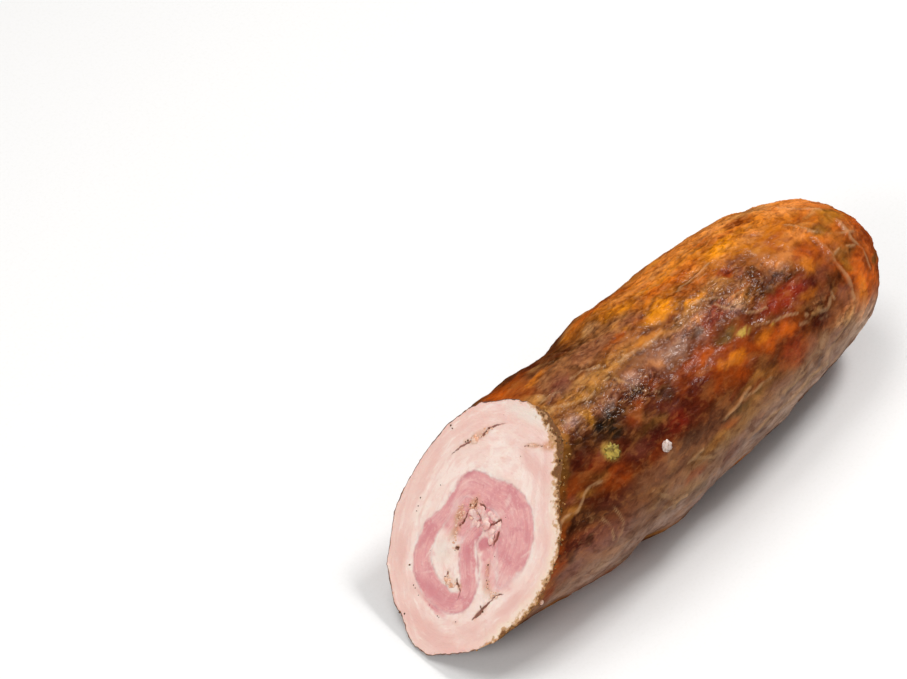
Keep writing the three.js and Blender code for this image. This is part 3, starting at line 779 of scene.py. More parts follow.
# %% Triangles of the cut face
def loop_edges(count, start=0):
    """Edges that join so many points in a closed loop."""
    return [(start + i, start + (i + 1) % count) for i in range(count)]


fixed_edges = loop_edges(COLUMNS) + loop_edges(len(lean_outline), COLUMNS)
all_points = np.vstack([rim, lean_outline, loose])
found = delaunay_2d_cdt([Vector(p) for p in all_points], fixed_edges, [], 1, 1e-6, True)
section = np.array([tuple(p) for p in found[0]])
triangles = np.array(found[2])
triangles = triangles[inside(section[triangles].mean(axis=1), rim)]
came_from = np.array([ids[0] if ids else -1 for ids in found[3]])
is_lean = inside(section[triangles].mean(axis=1), lean_outline)
print(len(section), "points,", len(triangles), "triangles,", is_lean.sum(), "of them lean,",
      (came_from < 0).sum(), "points added")

# %% Measures that guide relief and colour on the cut
rim_depth, _ = nearest_on_path(section, closed_rim)
lean_depth, _ = nearest_on_path(section, closed_lean)
lean_depth = np.where(inside(section, lean_outline), lean_depth, -lean_depth)
travelled = np.concatenate([[0], np.cumsum(np.linalg.norm(np.diff(middle[:, :2], axis=0), axis=1))])
guide = np.column_stack([middle[:, :2], middle[:, :2], heading, travelled])
_, nearest = nearest_on_path(section, guide)
offset = section - nearest[:, :2]
grain_across = nearest[:, 2] * offset[:, 1] - nearest[:, 3] * offset[:, 0]
grain_along = nearest[:, 4]
spokes = section - rim.mean(axis=0)
spokes /= np.linalg.norm(spokes, axis=1, keepdims=True)
print("the rim is up to", rim_depth.max().round(1), "mm away")
print("the curl is", travelled[-1].round(1), "mm long")

# %% [markdown]
# ## Blush, fat and crumbs on the cut
# The lean is not one pink. It is deeper where the muscle is dense, pale where fat runs through it, and
# tan in the torn core where the seasoning lies. The fat has a greyish island inside the curl and rosy
# zones near the rind. As on the skin, each is a soft spot with a place, a size, a turn and a strength.

# %% Soft spots of the cut
# Kind, right, up, half-width, half-height, turn in degrees, strength
SOFT_SPOTS = [
    ("torn", -4, 51, 11, 4.4, 5, 1), ("torn", -15, 47, 4, 6, 0, 0.9), ("torn", 4, 47, 3, 4, 0, 0.8),
    ("torn", -6, 27, 5, 2, 10, 0.7), ("torn", -28, 71.4, 6, 2, 45, 0.7), ("torn", 15, 32, 4, 3, 20, 0.6),
    ("meaty", 13.6, 36.4, 4, 3.4, 30, 0.8), ("meaty", 4.6, 42.6, 2.4, 4, 28, 0.9),
    ("meaty", 7, 38.6, 2, 3.6, 28, 0.6), ("meaty", 1.2, 44.6, 3.2, 2.8, 30, 1),
    ("meaty", 20, 40, 5, 3, 60, 0.6), ("meaty", -8, 52, 13, 4.6, 5, 1),
    ("meaty", 6.5, 47, 5, 7, 20, 1), ("meaty", -19, 51, 6, 7, 0, 1),
    ("meaty", -9, 17.2, 9, 1.8, -4, 0.9), ("meaty", -3, 18.6, 5, 1.6, 20, 0.7),
    ("soft", 22, 38, 8, 8, 0, 1), ("soft", 8, 60, 14, 4, -15, 0.5), ("soft", -20, 32, 4, 8, 0, 0.6),
    ("soft", 10, 40, 4, 8, 10, 0.8), ("soft", -22, 55, 6, 5, 0, 0.3), ("soft", -8, 42, 4, 6, 0, 0.5),
    ("soft", 0, 39, 4, 6, 20, 1), ("meaty", -20, 43.4, 4, 4, 0, 0.9),
    ("meaty", 9.4, 40, 3.4, 5, 20, 0.9), ("meaty", -12, 44.5, 5, 4, 0, 0.9),
    ("pale", -21, 49, 3.4, 5, 0, 0.4), ("pale", 25.5, 44, 4, 7, -30, 0.5),
    ("pale", -1, 56, 6, 1.2, 0, 0.35),
    ("rosy", -24, 60, 4.5, 2.4, 30, 0.9), ("rosy", -25, 52, 2, 7, 0, 0.6),
    ("rosy", -12, 20.5, 11, 2.8, 0, 0.7), ("rosy", -28.5, 33, 2.4, 7, -8, 0.6),
    ("rosy", -4, 38, 5, 2.6, -40, 0.7), ("rosy", 3, 31, 4, 3.4, -50, 0.5),
    ("rosy", -2, 46.5, 6, 1.8, 0, 0.6), ("rosy", 0, 45.6, 5, 3, 0, 1), ("rosy", 21, 50, 2.2, 5, -30, 0.5),
    ("rosy", 4, 64.5, 8, 1.4, 0, 0.45), ("rosy", 19, 57, 6, 2.4, -38, 0.5),
    ("pale", 2.4, 61.6, 1.8, 3.2, 14, 0.42), ("pale", 6.6, 59.6, 1.8, 2.6, 10, 0.34),
    ("pale", 8.5, 53, 3, 2.2, 0, 0.3),
    ("pale", 23.4, 52.2, 0.6, 5, -38, 0.5), ("pale", -0.6, 40.6, 5, 0.7, -42, 0.75),
    ("pale", 5, 35, 4, 1, -40, 0.8), ("pale", -6, 52, 4.5, 1.8, 10, 0.55),
    ("pale", 2.6, 50.6, 2.2, 1.6, 30, 0.7), ("pale", -22.6, 32, 0.6, 5, -12, 0.6),
    ("pale", 18, 40, 7, 3.4, 20, 0.35), ("pale", -19, 24.4, 5, 0.6, 30, 0.4),
    ("pale", 13, 30, 3, 7, -20, 0.6), ("pale", -20, 57, 3, 2, 0, 0.25),
    ("grey", -17, 33.5, 6.5, 4.6, -30, 0.6), ("grey", -20.4, 29.4, 3, 3, 0, 0.4),
    ("grey", -8, 89, 17, 3.2, 8, 0.7),
    ("grey", 10, 42, 2, 6, 25, 0.45), ("grey", -34, 44, 2, 16, 4, 0.35),
    ("tan", -12.6, 53, 2.8, 3, 0, 0.8), ("tan", -17, 46.6, 2.8, 3.6, 0, 0.75),
    ("tan", -15.2, 42, 2.4, 3.8, -15, 0.65), ("tan", -10.4, 38, 1.4, 1.2, 0, 0.7),
    ("tan", -12.6, 34.7, 3, 2.6, 0, 0.3),
    ("tan", -27, 72.4, 4.4, 2.2, 45, 0.55), ("tan", -31, 68, 2, 1.6, 45, 0.45),
    ("tan", -6, 27.6, 4.4, 1.8, 10, 0.45), ("tan", -0.4, 28, 1.6, 1.4, 0, 0.7),
    ("tan", 12.8, 34, 4.4, 2.6, -20, 0.5), ("tan", 9, 38.6, 1.8, 4.4, 28, 0.45),
    ("tan", 17.6, 32.6, 3, 1.6, 50, 0.5),
    ("tan", 1.4, 82, 5, 1.1, 22, 0.7), ("tan", 9, 85.4, 4.5, 2, 28, 0.8),
    ("tan", -12, 56, 3, 1.2, -20, 0.35), ("tan", 6, 17.2, 4, 0.8, 8, 0.35),
    ("tan", -15, 16.8, 8, 0.8, -6, 0.3), ("tan", -36, 41, 0.9, 6, 6, 0.3),
    ("blush", 5, 77, 11, 3.6, -8, 0.8), ("blush", 27, 35, 3, 9, -30, 0.75),
    ("blush", -2, 9, 26, 4, 0, 0.7), ("blush", 31, 60, 3, 6, 0, 0.3),
    ("blush", -20, 86, 12, 3, 25, 0.35), ("blush", -42, 52, 2, 20, 4, 0.5),
    ("blush", -36, 24, 4, 9, 30, 0.6), ("blush", -10, 78, 6, 2.4, 0, 0.45),
    ("blush", 23, 41, 4.6, 6, -30, 0.6), ("blush", 14, 18, 8, 4, 25, 0.4),
]


def flat(points):
    """Section places as points in space, for noise."""
    return np.column_stack([points, np.zeros(len(points))])


SPOT_FRAY = 0.35
moved = np.column_stack([ripple(flat(section), 1.6), ripple(flat(section) + 40, 1.6)])
frayed = section + SPOT_FRAY * moved
spot_cover = {}
for kind, right, up, half_width, half_height, turn, strength in SOFT_SPOTS:
    c, s = math.cos(math.radians(turn)), math.sin(math.radians(turn))
    away = frayed - (right, up)
    reach = ((c * away[:, 0] + s * away[:, 1]) / half_width) ** 2
    reach += ((c * away[:, 1] - s * away[:, 0]) / half_height) ** 2
    cover = strength * np.exp(-(reach**1.4))
    spot_cover[kind] = np.maximum(spot_cover.get(kind, 0), cover)
print({kind: int((cover > 0.3).sum()) for kind, cover in spot_cover.items()}, "points in each kind")

# %% [markdown]
# ## The rind at the rim
# On the left of the cut the rind is one thin dark line. On the right the knife has dragged its crumbs
# over the edge, in a ragged brown band that is widest at the upper right. Both are kept as a number
# for each point, with noise for the raggedness, and the material turns them into colour.

# %% The rind's band
UPPER_BAND = 2.6
UPPER_BAND_ANGLE = 66
UPPER_BAND_SPREAD = 17

right_side = smoothstep(spokes @ (0.9, 0.43), 0.15, 0.6)
uneven = np.abs(ripple(flat(section) + 150, 4, 3))
spoke_angle = np.degrees(np.arctan2(spokes[:, 1], spokes[:, 0]))
upper_right = np.exp(-(((spoke_angle - UPPER_BAND_ANGLE) / UPPER_BAND_SPREAD) ** 2))
rind_line = rim_depth / (0.2 + 0.5 * uneven) + 2 * right_side
rind_band = right_side * (0.7 + 2.6 * uneven) + UPPER_BAND * upper_right - 1 + right_side - rim_depth
print("the band of rind covers", (rind_band > 0).sum(), "points")

# %% [markdown]
# ## The knife's surface
# Cooked meat doesn't cut quite flat: the face has a shallow wave, the lean shrinks below the fat and
# shows its fibres, the core is torn, and the cracks open as narrow furrows with seasoning beside them.
# All of it moves the points along the cut's own direction, and fades out at the rim so that the rim
# stays shared with the skin.

# %% Open cracks and pits
# The mesh sinks by about a third of the depth that a crack seems to have, so by 1.1 mm at most. Painted
# shade in the gap gives the rest, and the torn pits of the core get painted shade too.
FURROW_EDGE = 0.12
FURROW_DEPTH = 0.32
SEASONING = 0.55
PIT_SHADE = 0.55

gap_depth = np.zeros(len(section))
gap_shade = np.zeros(len(section))
fray = ripple(flat(section) + 20, 2.4)
for crack in cracks:
    distance, sizes = nearest_on_path(frayed, crack)
    half_width, depth = sizes.T
    opening = 1 - smoothstep(distance / (half_width + FURROW_EDGE), 0.3, 1.0)
    gap_depth = np.maximum(gap_depth, FURROW_DEPTH * depth * opening)
    gap_shade = np.maximum(gap_shade, opening * smoothstep(depth, 0, 1.5))
    seasoning = SEASONING * np.exp(-((distance / 1.5) ** 2)) * smoothstep(depth, 0.1, 2.0)
    spot_cover["tan"] = np.maximum(spot_cover["tan"], seasoning * (0.6 + 0.8 * np.abs(fray)))
tatters = ripple(flat(section) + 90, 1.5)
pits = spot_cover["torn"] * smoothstep(-tatters, 0.12, 0.5)
gap_shade = np.maximum(gap_shade, PIT_SHADE * pits)
print("the cracks open up to", gap_depth.max().round(2), "mm deep")

# %% Relief of the cut
WAVE = 0.35
LEAN_SINK = 0.22
FIBRES = 0.14
FIBRE_WIDTH = 0.9
FIBRE_LENGTH = 7
FAT_GRAIN = 0.06
TORN = 0.9
TATTERS = 0.7
RIM_CRUMBLE = 0.5

lean_here = smoothstep(lean_depth, -0.4, 0.6)
fibre_places = np.column_stack([
    grain_across / FIBRE_WIDTH, grain_along / FIBRE_LENGTH, np.zeros(len(section))])
crumbling = right_side * np.exp(-(((rim_depth - 1.6) / 1.4) ** 2))
face_relief = (
    WAVE * ripple(flat(section), 22, 2)
    - LEAN_SINK * lean_here
    + FIBRES * lean_here * ripple(fibre_places, 1.0)
    + FAT_GRAIN * ripple(flat(section) + 7, 2.4)
    + spot_cover["torn"] * (TORN * ripple(flat(section) + 70, 3.4) + TATTERS * tatters)
    + RIM_CRUMBLE * crumbling * ripple(flat(section) + 33, 1.3)
    - gap_depth
) * smoothstep(rim_depth, 0, 1.5)
lean_edge = lean_depth / (0.7 + 2.6 * spot_cover["soft"])
face = np.column_stack([cut_place(section[:, 0], section[:, 1]), -section[:, 0], section[:, 1]])
face += face_relief[:, None] * cut_normal
print("cut relief from", face_relief.min().round(2), "to", face_relief.max().round(2), "mm")

# %% [markdown]
# ## Two bodies that meet at the cut
# The pancetta is one closed body of fat and rind, with a deep channel, and one body of lean meat that
# fills the channel. Both share the points of the lean layer's outline, so nothing shows between them.
# Each is built straight from arrays of points and faces, which is the quickest way in Blender to make
# a mesh from formulas. Values that guide the materials are stored on the points as attributes.

# %% Mesh from arrays
SHARP_ANGLE = math.radians(42)
COLOUR_SPOTS = ["meaty", "rosy", "pale", "grey", "tan", "blush"]
FACE_VALUES = {
    "rim_depth": rim_depth, "rind_line": rind_line, "rind_band": rind_band, "right_side": right_side,
    "lean_edge": lean_edge, "grain_across": grain_across, "grain_along": grain_along,
    "gap_shade": gap_shade, "spoke_right": spokes[:, 0], "spoke_up": spokes[:, 1],
    **{kind: spot_cover[kind] for kind in COLOUR_SPOTS},
}
cad_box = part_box("fat_and_rind")
TO_FRAME = np.array([1000 * cad_box[1].x - TIP, 500 * (cad_box[0].y + cad_box[1].y) - plain_middle, 0])


def mesh_piece(name, points, faces, materials=()):
    """A smooth-shaded object from points in roll millimetres and faces, riding on the root body."""
    mesh = bpy.data.meshes.new(name)
    mesh.from_pydata(((points + TO_FRAME) / 1000).tolist(), [], faces)
    mesh.polygons.foreach_set("use_smooth", [True] * len(faces))
    for material in materials:
        mesh.materials.append(material)
    piece = bpy.data.objects.new(name, mesh)
    bpy.context.scene.collection.objects.link(piece)
    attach(piece, "root")
    return piece


def keep_value(piece, name, values):
    """Stores one number, or one colour, for each point."""
    kind, field = ("FLOAT_COLOR", "color") if values.ndim == 2 else ("FLOAT", "value")
    attribute = piece.data.attributes.new(name, kind, "POINT")
    attribute.data.foreach_set(field, values.astype(np.float32).ravel())


def grid_faces(rows, columns, start=0):
    """Quads of a grid whose columns close in a loop, facing out."""
    index = start + np.arange(rows * columns).reshape(rows, columns)
    ahead = np.roll(index, -1, axis=1)
    quads = np.stack([index[:-1], index[1:], ahead[1:], ahead[:-1]], axis=-1)
    return quads.reshape(-1, 4)


print("the roll moves by", TO_FRAME.round(3), "mm into the frame")

# %% The walls of the lean layer
RUN_RINGS = 30
outline_count = len(lean_outline)


def lean_walls(first_ring):
    """Rings of the lean layer from its outline on the cut to where it stops, inside the roll."""
    start = first_ring[:, 0]
    part = np.arange(1, RUN_RINGS + 1)[:, None] / RUN_RINGS
    x = start + (LEAN_STOP - start) * part
    scale = np.minimum(plain_radius(x) / CUT_RADIUS, 1)
    y = tip_offset(x) - lean_outline[:, 0] * scale
    z = CENTRE_HEIGHT + (lean_outline[:, 1] - CENTRE_HEIGHT) * scale
    return np.stack([x, y, z], axis=-1).reshape(-1, 3)


outline_at = np.empty(outline_count, int)
from_outline = (came_from >= COLUMNS) & (came_from < COLUMNS + outline_count)
outline_at[came_from[from_outline] - COLUMNS] = np.flatnonzero(from_outline)
walls = lean_walls(face[outline_at])
end_cap = np.array(tessellate_polygon([[Vector((*spot, 0)) for spot in lean_outline]]))
a, b, c = (lean_outline[end_cap[:, k]] for k in range(3))
turned = np.cross(b - a, c - a) < 0
end_cap[turned] = end_cap[turned][:, ::-1]
print(len(walls), "wall points,", len(end_cap), "triangles in the end")


def body_of_cut(own_triangles, start, known):
    """Numbers the cut's points for one body. known gives the numbers of points it already has."""
    number = known.copy()
    new = np.setdiff1d(np.unique(own_triangles), np.flatnonzero(known >= 0))
    number[new] = start + np.arange(len(new))
    return number, new


def ring_numbers(number, start):
    """Numbers of all wall rings, the first of which lies on the cut."""
    return np.concatenate([number[outline_at], start + np.arange(len(walls))])


# %% The smoked roll
skin_count = ROWS * COLUMNS
known = np.where(came_from < COLUMNS, came_from, -1)
number, new = body_of_cut(triangles[~is_lean], skin_count + 1, known)
tip_point = skin_point(np.array([float(TIP)]), np.array([0.0]))
points = np.vstack([skin.reshape(-1, 3), tip_point, face[new], walls])
rings = ring_numbers(number, skin_count + 1 + len(new))
last_row = skin_count - COLUMNS + np.arange(COLUMNS)
tip_fan = np.stack([last_row, np.full(COLUMNS, skin_count), np.roll(last_row, -1)], axis=1)
skin_faces = grid_faces(ROWS, COLUMNS).tolist() + tip_fan.tolist()
channel = rings[grid_faces(RUN_RINGS + 1, outline_count)][:, ::-1]
channel_end = rings[RUN_RINGS * outline_count + end_cap]
cut_faces = number[triangles[~is_lean]].tolist() + channel.tolist() + channel_end.tolist()
smoked_roll = mesh_piece("smoked_roll", points, skin_faces + cut_faces)
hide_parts("fat_and_rind")
of_cut = np.arange(len(skin_faces) + len(cut_faces)) >= len(skin_faces)
smoked_roll.data.polygons.foreach_set("material_index", of_cut.astype(int))
smoked_roll.data.set_sharp_from_angle(angle=SHARP_ANGLE)
print("smoked_roll:", len(points), "points,", len(smoked_roll.data.polygons), "faces")

# %% Values on the smoked roll
beyond_skin = np.zeros(1 + len(new) + len(walls))
for name, values in (("film", film), ("wet", wetness), ("wrinkled", wrinkle_amount)):
    keep_value(smoked_roll, name, np.concatenate([values.ravel(), beyond_skin]))
no_stain = np.zeros((len(new) + len(walls), 4))
keep_value(smoked_roll, "stain", np.vstack([stain.reshape(-1, 4), stain[-1, :1], no_stain]))
for name, values in FACE_VALUES.items():
    at_rim = np.zeros(COLUMNS)
    at_rim[came_from[known >= 0]] = values[known >= 0]
    beyond_rim = np.zeros(skin_count - COLUMNS + 1)
    keep_value(smoked_roll, name, np.concatenate([at_rim, beyond_rim, values[new], np.zeros(len(walls))]))
print(len(smoked_roll.data.attributes), "attributes on the roll")

# %% The lean layer
number, new = body_of_cut(triangles[is_lean], 0, np.full(len(section), -1))
points = np.vstack([face[new], walls])
rings = ring_numbers(number, len(new))
lean_faces = number[triangles[is_lean]].tolist()
lean_faces += rings[grid_faces(RUN_RINGS + 1, outline_count)].tolist()
lean_faces += rings[RUN_RINGS * outline_count + end_cap][:, ::-1].tolist()
lean_curl = mesh_piece("lean_curl", points, lean_faces)
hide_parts("lean_layer")
lean_curl.data.set_sharp_from_angle(angle=SHARP_ANGLE)
for name, values in FACE_VALUES.items():
    keep_value(lean_curl, name, np.concatenate([values[new], np.zeros(len(walls))]))
print("lean_curl:", len(points), "points,", len(lean_faces), "faces")

# %% [markdown]
# ## The cut meat's material
# Cooked pork, freshly cut: moist, a little translucent, satin. What the eye gets is a soft glow in the
# fat, a dense rose in the lean with fibres along the curl, and a damp gloss on both. One set of nodes
# serves both bodies, because the pink bleeds into the fat across the mesh's border. Subsurface
# scattering gives the glow, and its reach is the real millimetre or so of light in fat.

# %% Nodes and patterns
def add(tree, kind, inputs=None, give=0, **settings):
    """Adds a shader node with its settings and its inputs, values or sockets, and gives an output."""
    node = tree.nodes.new("ShaderNode" + kind)
    for name, value in settings.items():
        setattr(node, name, value)
    for name, value in (inputs or {}).items():
        if isinstance(value, bpy.types.NodeSocket):
            tree.links.new(value, node.inputs[name])
        else:
            node.inputs[name].default_value = value
    return node.outputs[give] if give is not None else node


def new_material(name):
    """An empty material and its node tree."""
    material = bpy.data.materials.new(name)
    material.use_nodes = True
    material.node_tree.nodes.clear()
    return material, material.node_tree


def add_patterns(tree, sizes):
    """Noise patterns by name. Each size is what one bump measures along x, y and z in millimetres."""
    place = add(tree, "TexCoord", give=3)
    patterns = {}
    for name, (size, detail, distortion) in sizes.items():
        stretched = add(tree, "Mapping", {"Vector": place, "Scale": [1000 / mm for mm in size]})
        amounts = {"Vector": stretched, "Scale": 1.0, "Detail": detail, "Distortion": distortion}
        patterns[name] = add(tree, "TexNoise", amounts)
    return patterns


def lay(tree, base, washes):
    """Lays washes over a base: a guide, where it starts, where it is full, a colour, its most, a mode."""
    for guide, start, full, colour, most, *mode in washes:
        limits = {"Value": guide, "From Min": start, "From Max": full, "To Max": most}
        cover = add(tree, "MapRange", limits, interpolation_type="SMOOTHSTEP")
        base = add(tree, "Mix", {0: cover, 6: base, 7: linear(colour)}, give=2, data_type="RGBA",
                   blend_type=(mode or ["MIX"])[0])
    return base


print("a bump of 2 mm needs a pattern scale of", 1000 / 2)

# %% Colours of fat, lean and rind
FAT_WHITE = "f3ddd2"
FAT_MILKY = "f7e8de"
FAT_PINK = "eac2b6"
FAT_ROSY = "e4b2a8"
FAT_GREY = "ead8cc"
FAT_CREAM = "f1dcc6"
LEAN_ROSE = "e2a4a2"
LEAN_DEEP = "cf8086"
LEAN_PALE = "efc8be"
SEASONED = "d0936a"
RIND_OCHRE = "be8a50"
RIND_BROWN = "6e3e18"
RIND_DARK = "47240e"
# Painted shade in the cracks and torn pits, a dark reddish brown
GAP_SHADE = "7a3420"
print("fat in linear light:", [round(part, 2) for part in linear(FAT_WHITE)])

# %% Patterns of the cut
# How many layers and fibres lie in a millimetre, and how fast the layers change on the way round. The
# patchy noise is the fibres' third coordinate, so that their pattern changes from patch to patch.
LAYERS_ACROSS = 0.42
FIBRES_ACROSS = 1.2
FIBRES_ALONG = 0.13
SPOKE_SPREAD = 4.0


def cut_patterns(tree):
    """The numbers kept on the points and the patterns made of them, by name."""
    cut = {
        name: add(tree, "Attribute", give=2, attribute_type="GEOMETRY", attribute_name=name)
        for name in FACE_VALUES
    }
    cut.update(add_patterns(tree, {
        "patchy": ((9, 9, 9), 3, 0.6), "fine": ((1.3, 1.3, 1.3), 4, 0.0), "uneven": ((4, 4, 4), 3, 0.3),
        "crumbs": ((1.8, 1.8, 1.8), 2, 0.3),
    }))
    layer_space = add(tree, "CombineXYZ", {
        "X": add(tree, "Math", {0: cut["rim_depth"], 1: LAYERS_ACROSS}, operation="MULTIPLY"),
        "Y": add(tree, "Math", {0: cut["spoke_right"], 1: SPOKE_SPREAD}, operation="MULTIPLY"),
        "Z": add(tree, "Math", {0: cut["spoke_up"], 1: SPOKE_SPREAD}, operation="MULTIPLY"),
    })
    fibre_space = add(tree, "CombineXYZ", {
        "X": add(tree, "Math", {0: cut["grain_across"], 1: FIBRES_ACROSS}, operation="MULTIPLY"),
        "Y": add(tree, "Math", {0: cut["grain_along"], 1: FIBRES_ALONG}, operation="MULTIPLY"),
        "Z": add(tree, "Math", {0: cut["patchy"], 1: 2.0}, operation="MULTIPLY"),
    })
    for name, space, scale, detail, distortion in [
        ("layers", layer_space, 1.0, 4.0, 0.4),
        ("fibres", fibre_space, 1.0, 4.0, 1.0),
        ("marbling", fibre_space, 0.42, 3.0, 0.8),
    ]:
        amounts = {"Vector": space, "Scale": scale, "Detail": detail, "Distortion": distortion}
        cut[name] = add(tree, "TexNoise", amounts)
    wobble = add(tree, "MapRange", {"Value": cut["uneven"], "To Min": -2.0, "To Max": 2.0})
    cut["lean"] = add(tree, "Math", {0: cut["lean_edge"], 1: wobble}, operation="ADD")
    cut["rim"] = add(tree, "Math", {0: cut["rim_depth"], 1: wobble}, operation="ADD")
    return cut


print("a fibre is", round(1 / FIBRES_ACROSS, 1), "mm wide and", round(1 / FIBRES_ALONG, 1), "mm long")

# %% Colour of the fat
PINK_STARTS = 15
PINK_FULL = 5


def fat_colour(tree, cut):
    """Milky white, pink towards the rind in thin layers, and cream on the right under the rind."""
    cream = add(tree, "MapRange", {"Value": cut["rim"], "From Min": 7.0, "From Max": 2.0})
    cream = add(tree, "Math", {0: cream, 1: cut["right_side"]}, operation="MULTIPLY")
    return lay(tree, linear(FAT_WHITE), [
        (cut["rim"], PINK_STARTS, PINK_FULL, FAT_PINK, 0.75),
        (cut["layers"], 0.5, 0.64, FAT_ROSY, 0.35),
        (cut["layers"], 0.46, 0.32, FAT_MILKY, 0.6),
        (cut["patchy"], 0.46, 0.64, FAT_PINK, 0.4),
        (cut["fine"], 0.55, 0.7, FAT_ROSY, 0.25),
        (cut["blush"], 0.05, 0.9, FAT_ROSY, 0.75),
        (cream, 0.0, 1.0, FAT_CREAM, 0.8),
        (cut["grey"], 0.15, 0.8, FAT_GREY, 1.0),
    ])


print("the fat's pink starts", PINK_STARTS, "mm from the rim and is full at", PINK_FULL, "mm")

# %% Colour of the lean
def lean_colour(tree, cut):
    """Rose with deeper and paler fibres along the curl, marbled with fat."""
    return lay(tree, linear(LEAN_ROSE), [
        (cut["fibres"], 0.5, 0.72, LEAN_DEEP, 0.4),
        (cut["fibres"], 0.47, 0.28, LEAN_PALE, 0.4),
        (cut["marbling"], 0.58, 0.74, LEAN_PALE, 0.45),
        (cut["patchy"], 0.48, 0.66, LEAN_DEEP, 0.55),
        (cut["patchy"], 0.42, 0.3, LEAN_PALE, 0.4),
        (cut["fine"], 0.5, 0.72, LEAN_PALE, 0.4),
        (cut["rosy"], 0.1, 0.9, LEAN_DEEP, 0.8),
        (cut["grey"], 0.15, 0.8, FAT_GREY, 0.9),
    ])


print("lean in linear light:", [round(part, 2) for part in linear(LEAN_ROSE)])

# %% Cooked fat and lean
def cooked_meat(name, roughness):
    """Fat and lean blended by the edge of the lean, with the seasoning, the rind and painted shade in the
    cracks and pits laid on top.
    """
    material, tree = new_material(name)
    cut = cut_patterns(tree)
    blend = add(tree, "MapRange", {"Value": cut["lean"], "From Min": -0.9, "From Max": 0.9},
                interpolation_type="SMOOTHSTEP")
    meaty = add(tree, "MapRange", {"Value": cut["meaty"], "From Min": 0.1, "From Max": 0.7})
    blend = add(tree, "Math", {0: blend, 1: meaty}, operation="MAXIMUM")
    fat, lean = fat_colour(tree, cut), lean_colour(tree, cut)
    base = add(tree, "Mix", {0: blend, 6: fat, 7: lean}, give=2, data_type="RGBA")
    crumbs = add(tree, "MapRange", {"Value": cut["crumbs"], "To Min": -2.6, "To Max": 2.6})
    crumbly = add(tree, "Math", {0: cut["rind_band"], 1: crumbs}, operation="ADD")
    base = lay(tree, base, [
        (cut["pale"], 0.1, 0.8, FAT_WHITE, 0.85),
        (cut["tan"], 0.05, 0.9, SEASONED, 0.8),
        (crumbly, -1.4, 0.0, RIND_OCHRE, 0.8),
        (crumbly, 0.2, 1.0, RIND_BROWN, 0.85),
        (cut["rind_line"], 1.3, 0.7, RIND_DARK, 0.9),
        # Painted shade in the cracks and pits
        (cut["gap_shade"], 0.15, 0.8, GAP_SHADE, 0.8),
    ])
    height = add(tree, "Math", {0: cut["fine"], 1: cut["fibres"]}, operation="ADD")
    bump = add(tree, "Bump", {"Height": height, "Strength": 0.6, "Distance": 0.0004})
    shader = add(tree, "BsdfPrincipled", {
        "Base Color": base, "Normal": bump, "Roughness": roughness, "IOR": 1.44,
        "Subsurface Weight": 0.3, "Subsurface Radius": (1.0, 0.45, 0.3), "Subsurface Scale": 0.0016,
        "Coat Weight": 0.3, "Coat Roughness": 0.3, "Coat IOR": 1.35,
    })
    add(tree, "OutputMaterial", {"Surface": shader}, give=None)
    return material


cooked_fat = cooked_meat("freshly_cut_cooked_fat", 0.5)
cooked_lean = cooked_meat("freshly_cut_cooked_lean", 0.42)
lean_curl.data.materials.append(cooked_lean)
print("materials:", cooked_fat.name, cooked_lean.name)

# %% [markdown]
# ## The smoked casing's material
# Collagen film, wet-cooked on the meat and then smoked: a thin clear layer over stained meat and fat, satin
# where it is dry and like lacquer where it is wet. The laid stains give the large colours. On them lie soft
# mottling and speckles of smoke, painted shade in the valleys and painted highlights on the crests of fine
# creping where the film is wrinkled, and a paler tint where it has lifted. In the wet spots it is crumpled
# like thin clear wrapping: a Voronoi pattern bent by noise gives rounded facets, with a painted highlight
# on their crests and reddish painted shade in their hollows. A coat with its own low roughness is the film,
# thin where the skin is dry and full where it is wet, and the bumps break its highlights into small
# sparkles.

# %% Patterns of the casing
# What one bump measures along the roll and across it, in millimetres. Real creping is finer, but a
# pixel of the render is about half a millimetre, so it is drawn as coarse as it needs to show.
CASING_PATTERNS = {
    "tone": ((14, 7, 7), 3, 0.6), "speckle": ((4.4, 2.6, 2.6), 2, 0.5), "cloud": ((24, 16, 16), 3, 0.0),
    "pocks": ((3.6, 2.4, 2.4), 1, 0.4), "creping": ((3.8, 1.8, 1.8), 2, 0.8),
}
CRUMPLE = (3.0, 2.2, 2.2)
CRUMPLE_BEND = (2.0, 2.0, 2.0)

material, tree = new_material("smoked_collagen_casing")
stain_colour = add(tree, "Attribute", give=0, attribute_type="GEOMETRY", attribute_name="stain")
film_guide, wrinkled, wet = (
    add(tree, "Attribute", give=2, attribute_type="GEOMETRY", attribute_name=name)
    for name in ("film", "wrinkled", "wet")
)
grain = add_patterns(tree, CASING_PATTERNS)
skin_place = add(tree, "TexCoord", give=3)
stretched = add(tree, "Mapping", {"Vector": skin_place, "Scale": [1000 / mm for mm in CRUMPLE]})
bent = add(tree, "TexNoise", {"Vector": stretched, "Scale": 0.6, "Detail": 2.0}, give=1)
crumpled = add(tree, "VectorMath", {0: bent, 1: CRUMPLE_BEND, 2: stretched}, operation="MULTIPLY_ADD")
facets = add(tree, "TexVoronoi", {"Vector": crumpled, "Scale": 1.0})
print(len(CASING_PATTERNS), "patterns and the facets of the crumpled film")

# %% Colours of the casing
MOTTLE_DARK = "9c6844"
MOTTLE_LIGHT = "e0944c"
SPECKLE_DARK = "9a6848"
SPECKLE_LIGHT = "c87a3c"
# Painted shade in the valleys and painted highlight on the crests of the creping, and the same for the
# hollows and crests of the crumpled facets
VALLEY_SHADE = "7a4024"
CREST_HIGHLIGHT = "dca06a"
FACET_HOLLOW_SHADE = "8a4630"
FACET_CREST_HIGHLIGHT = "d8a070"
LIFTED_FILM = "b99066"

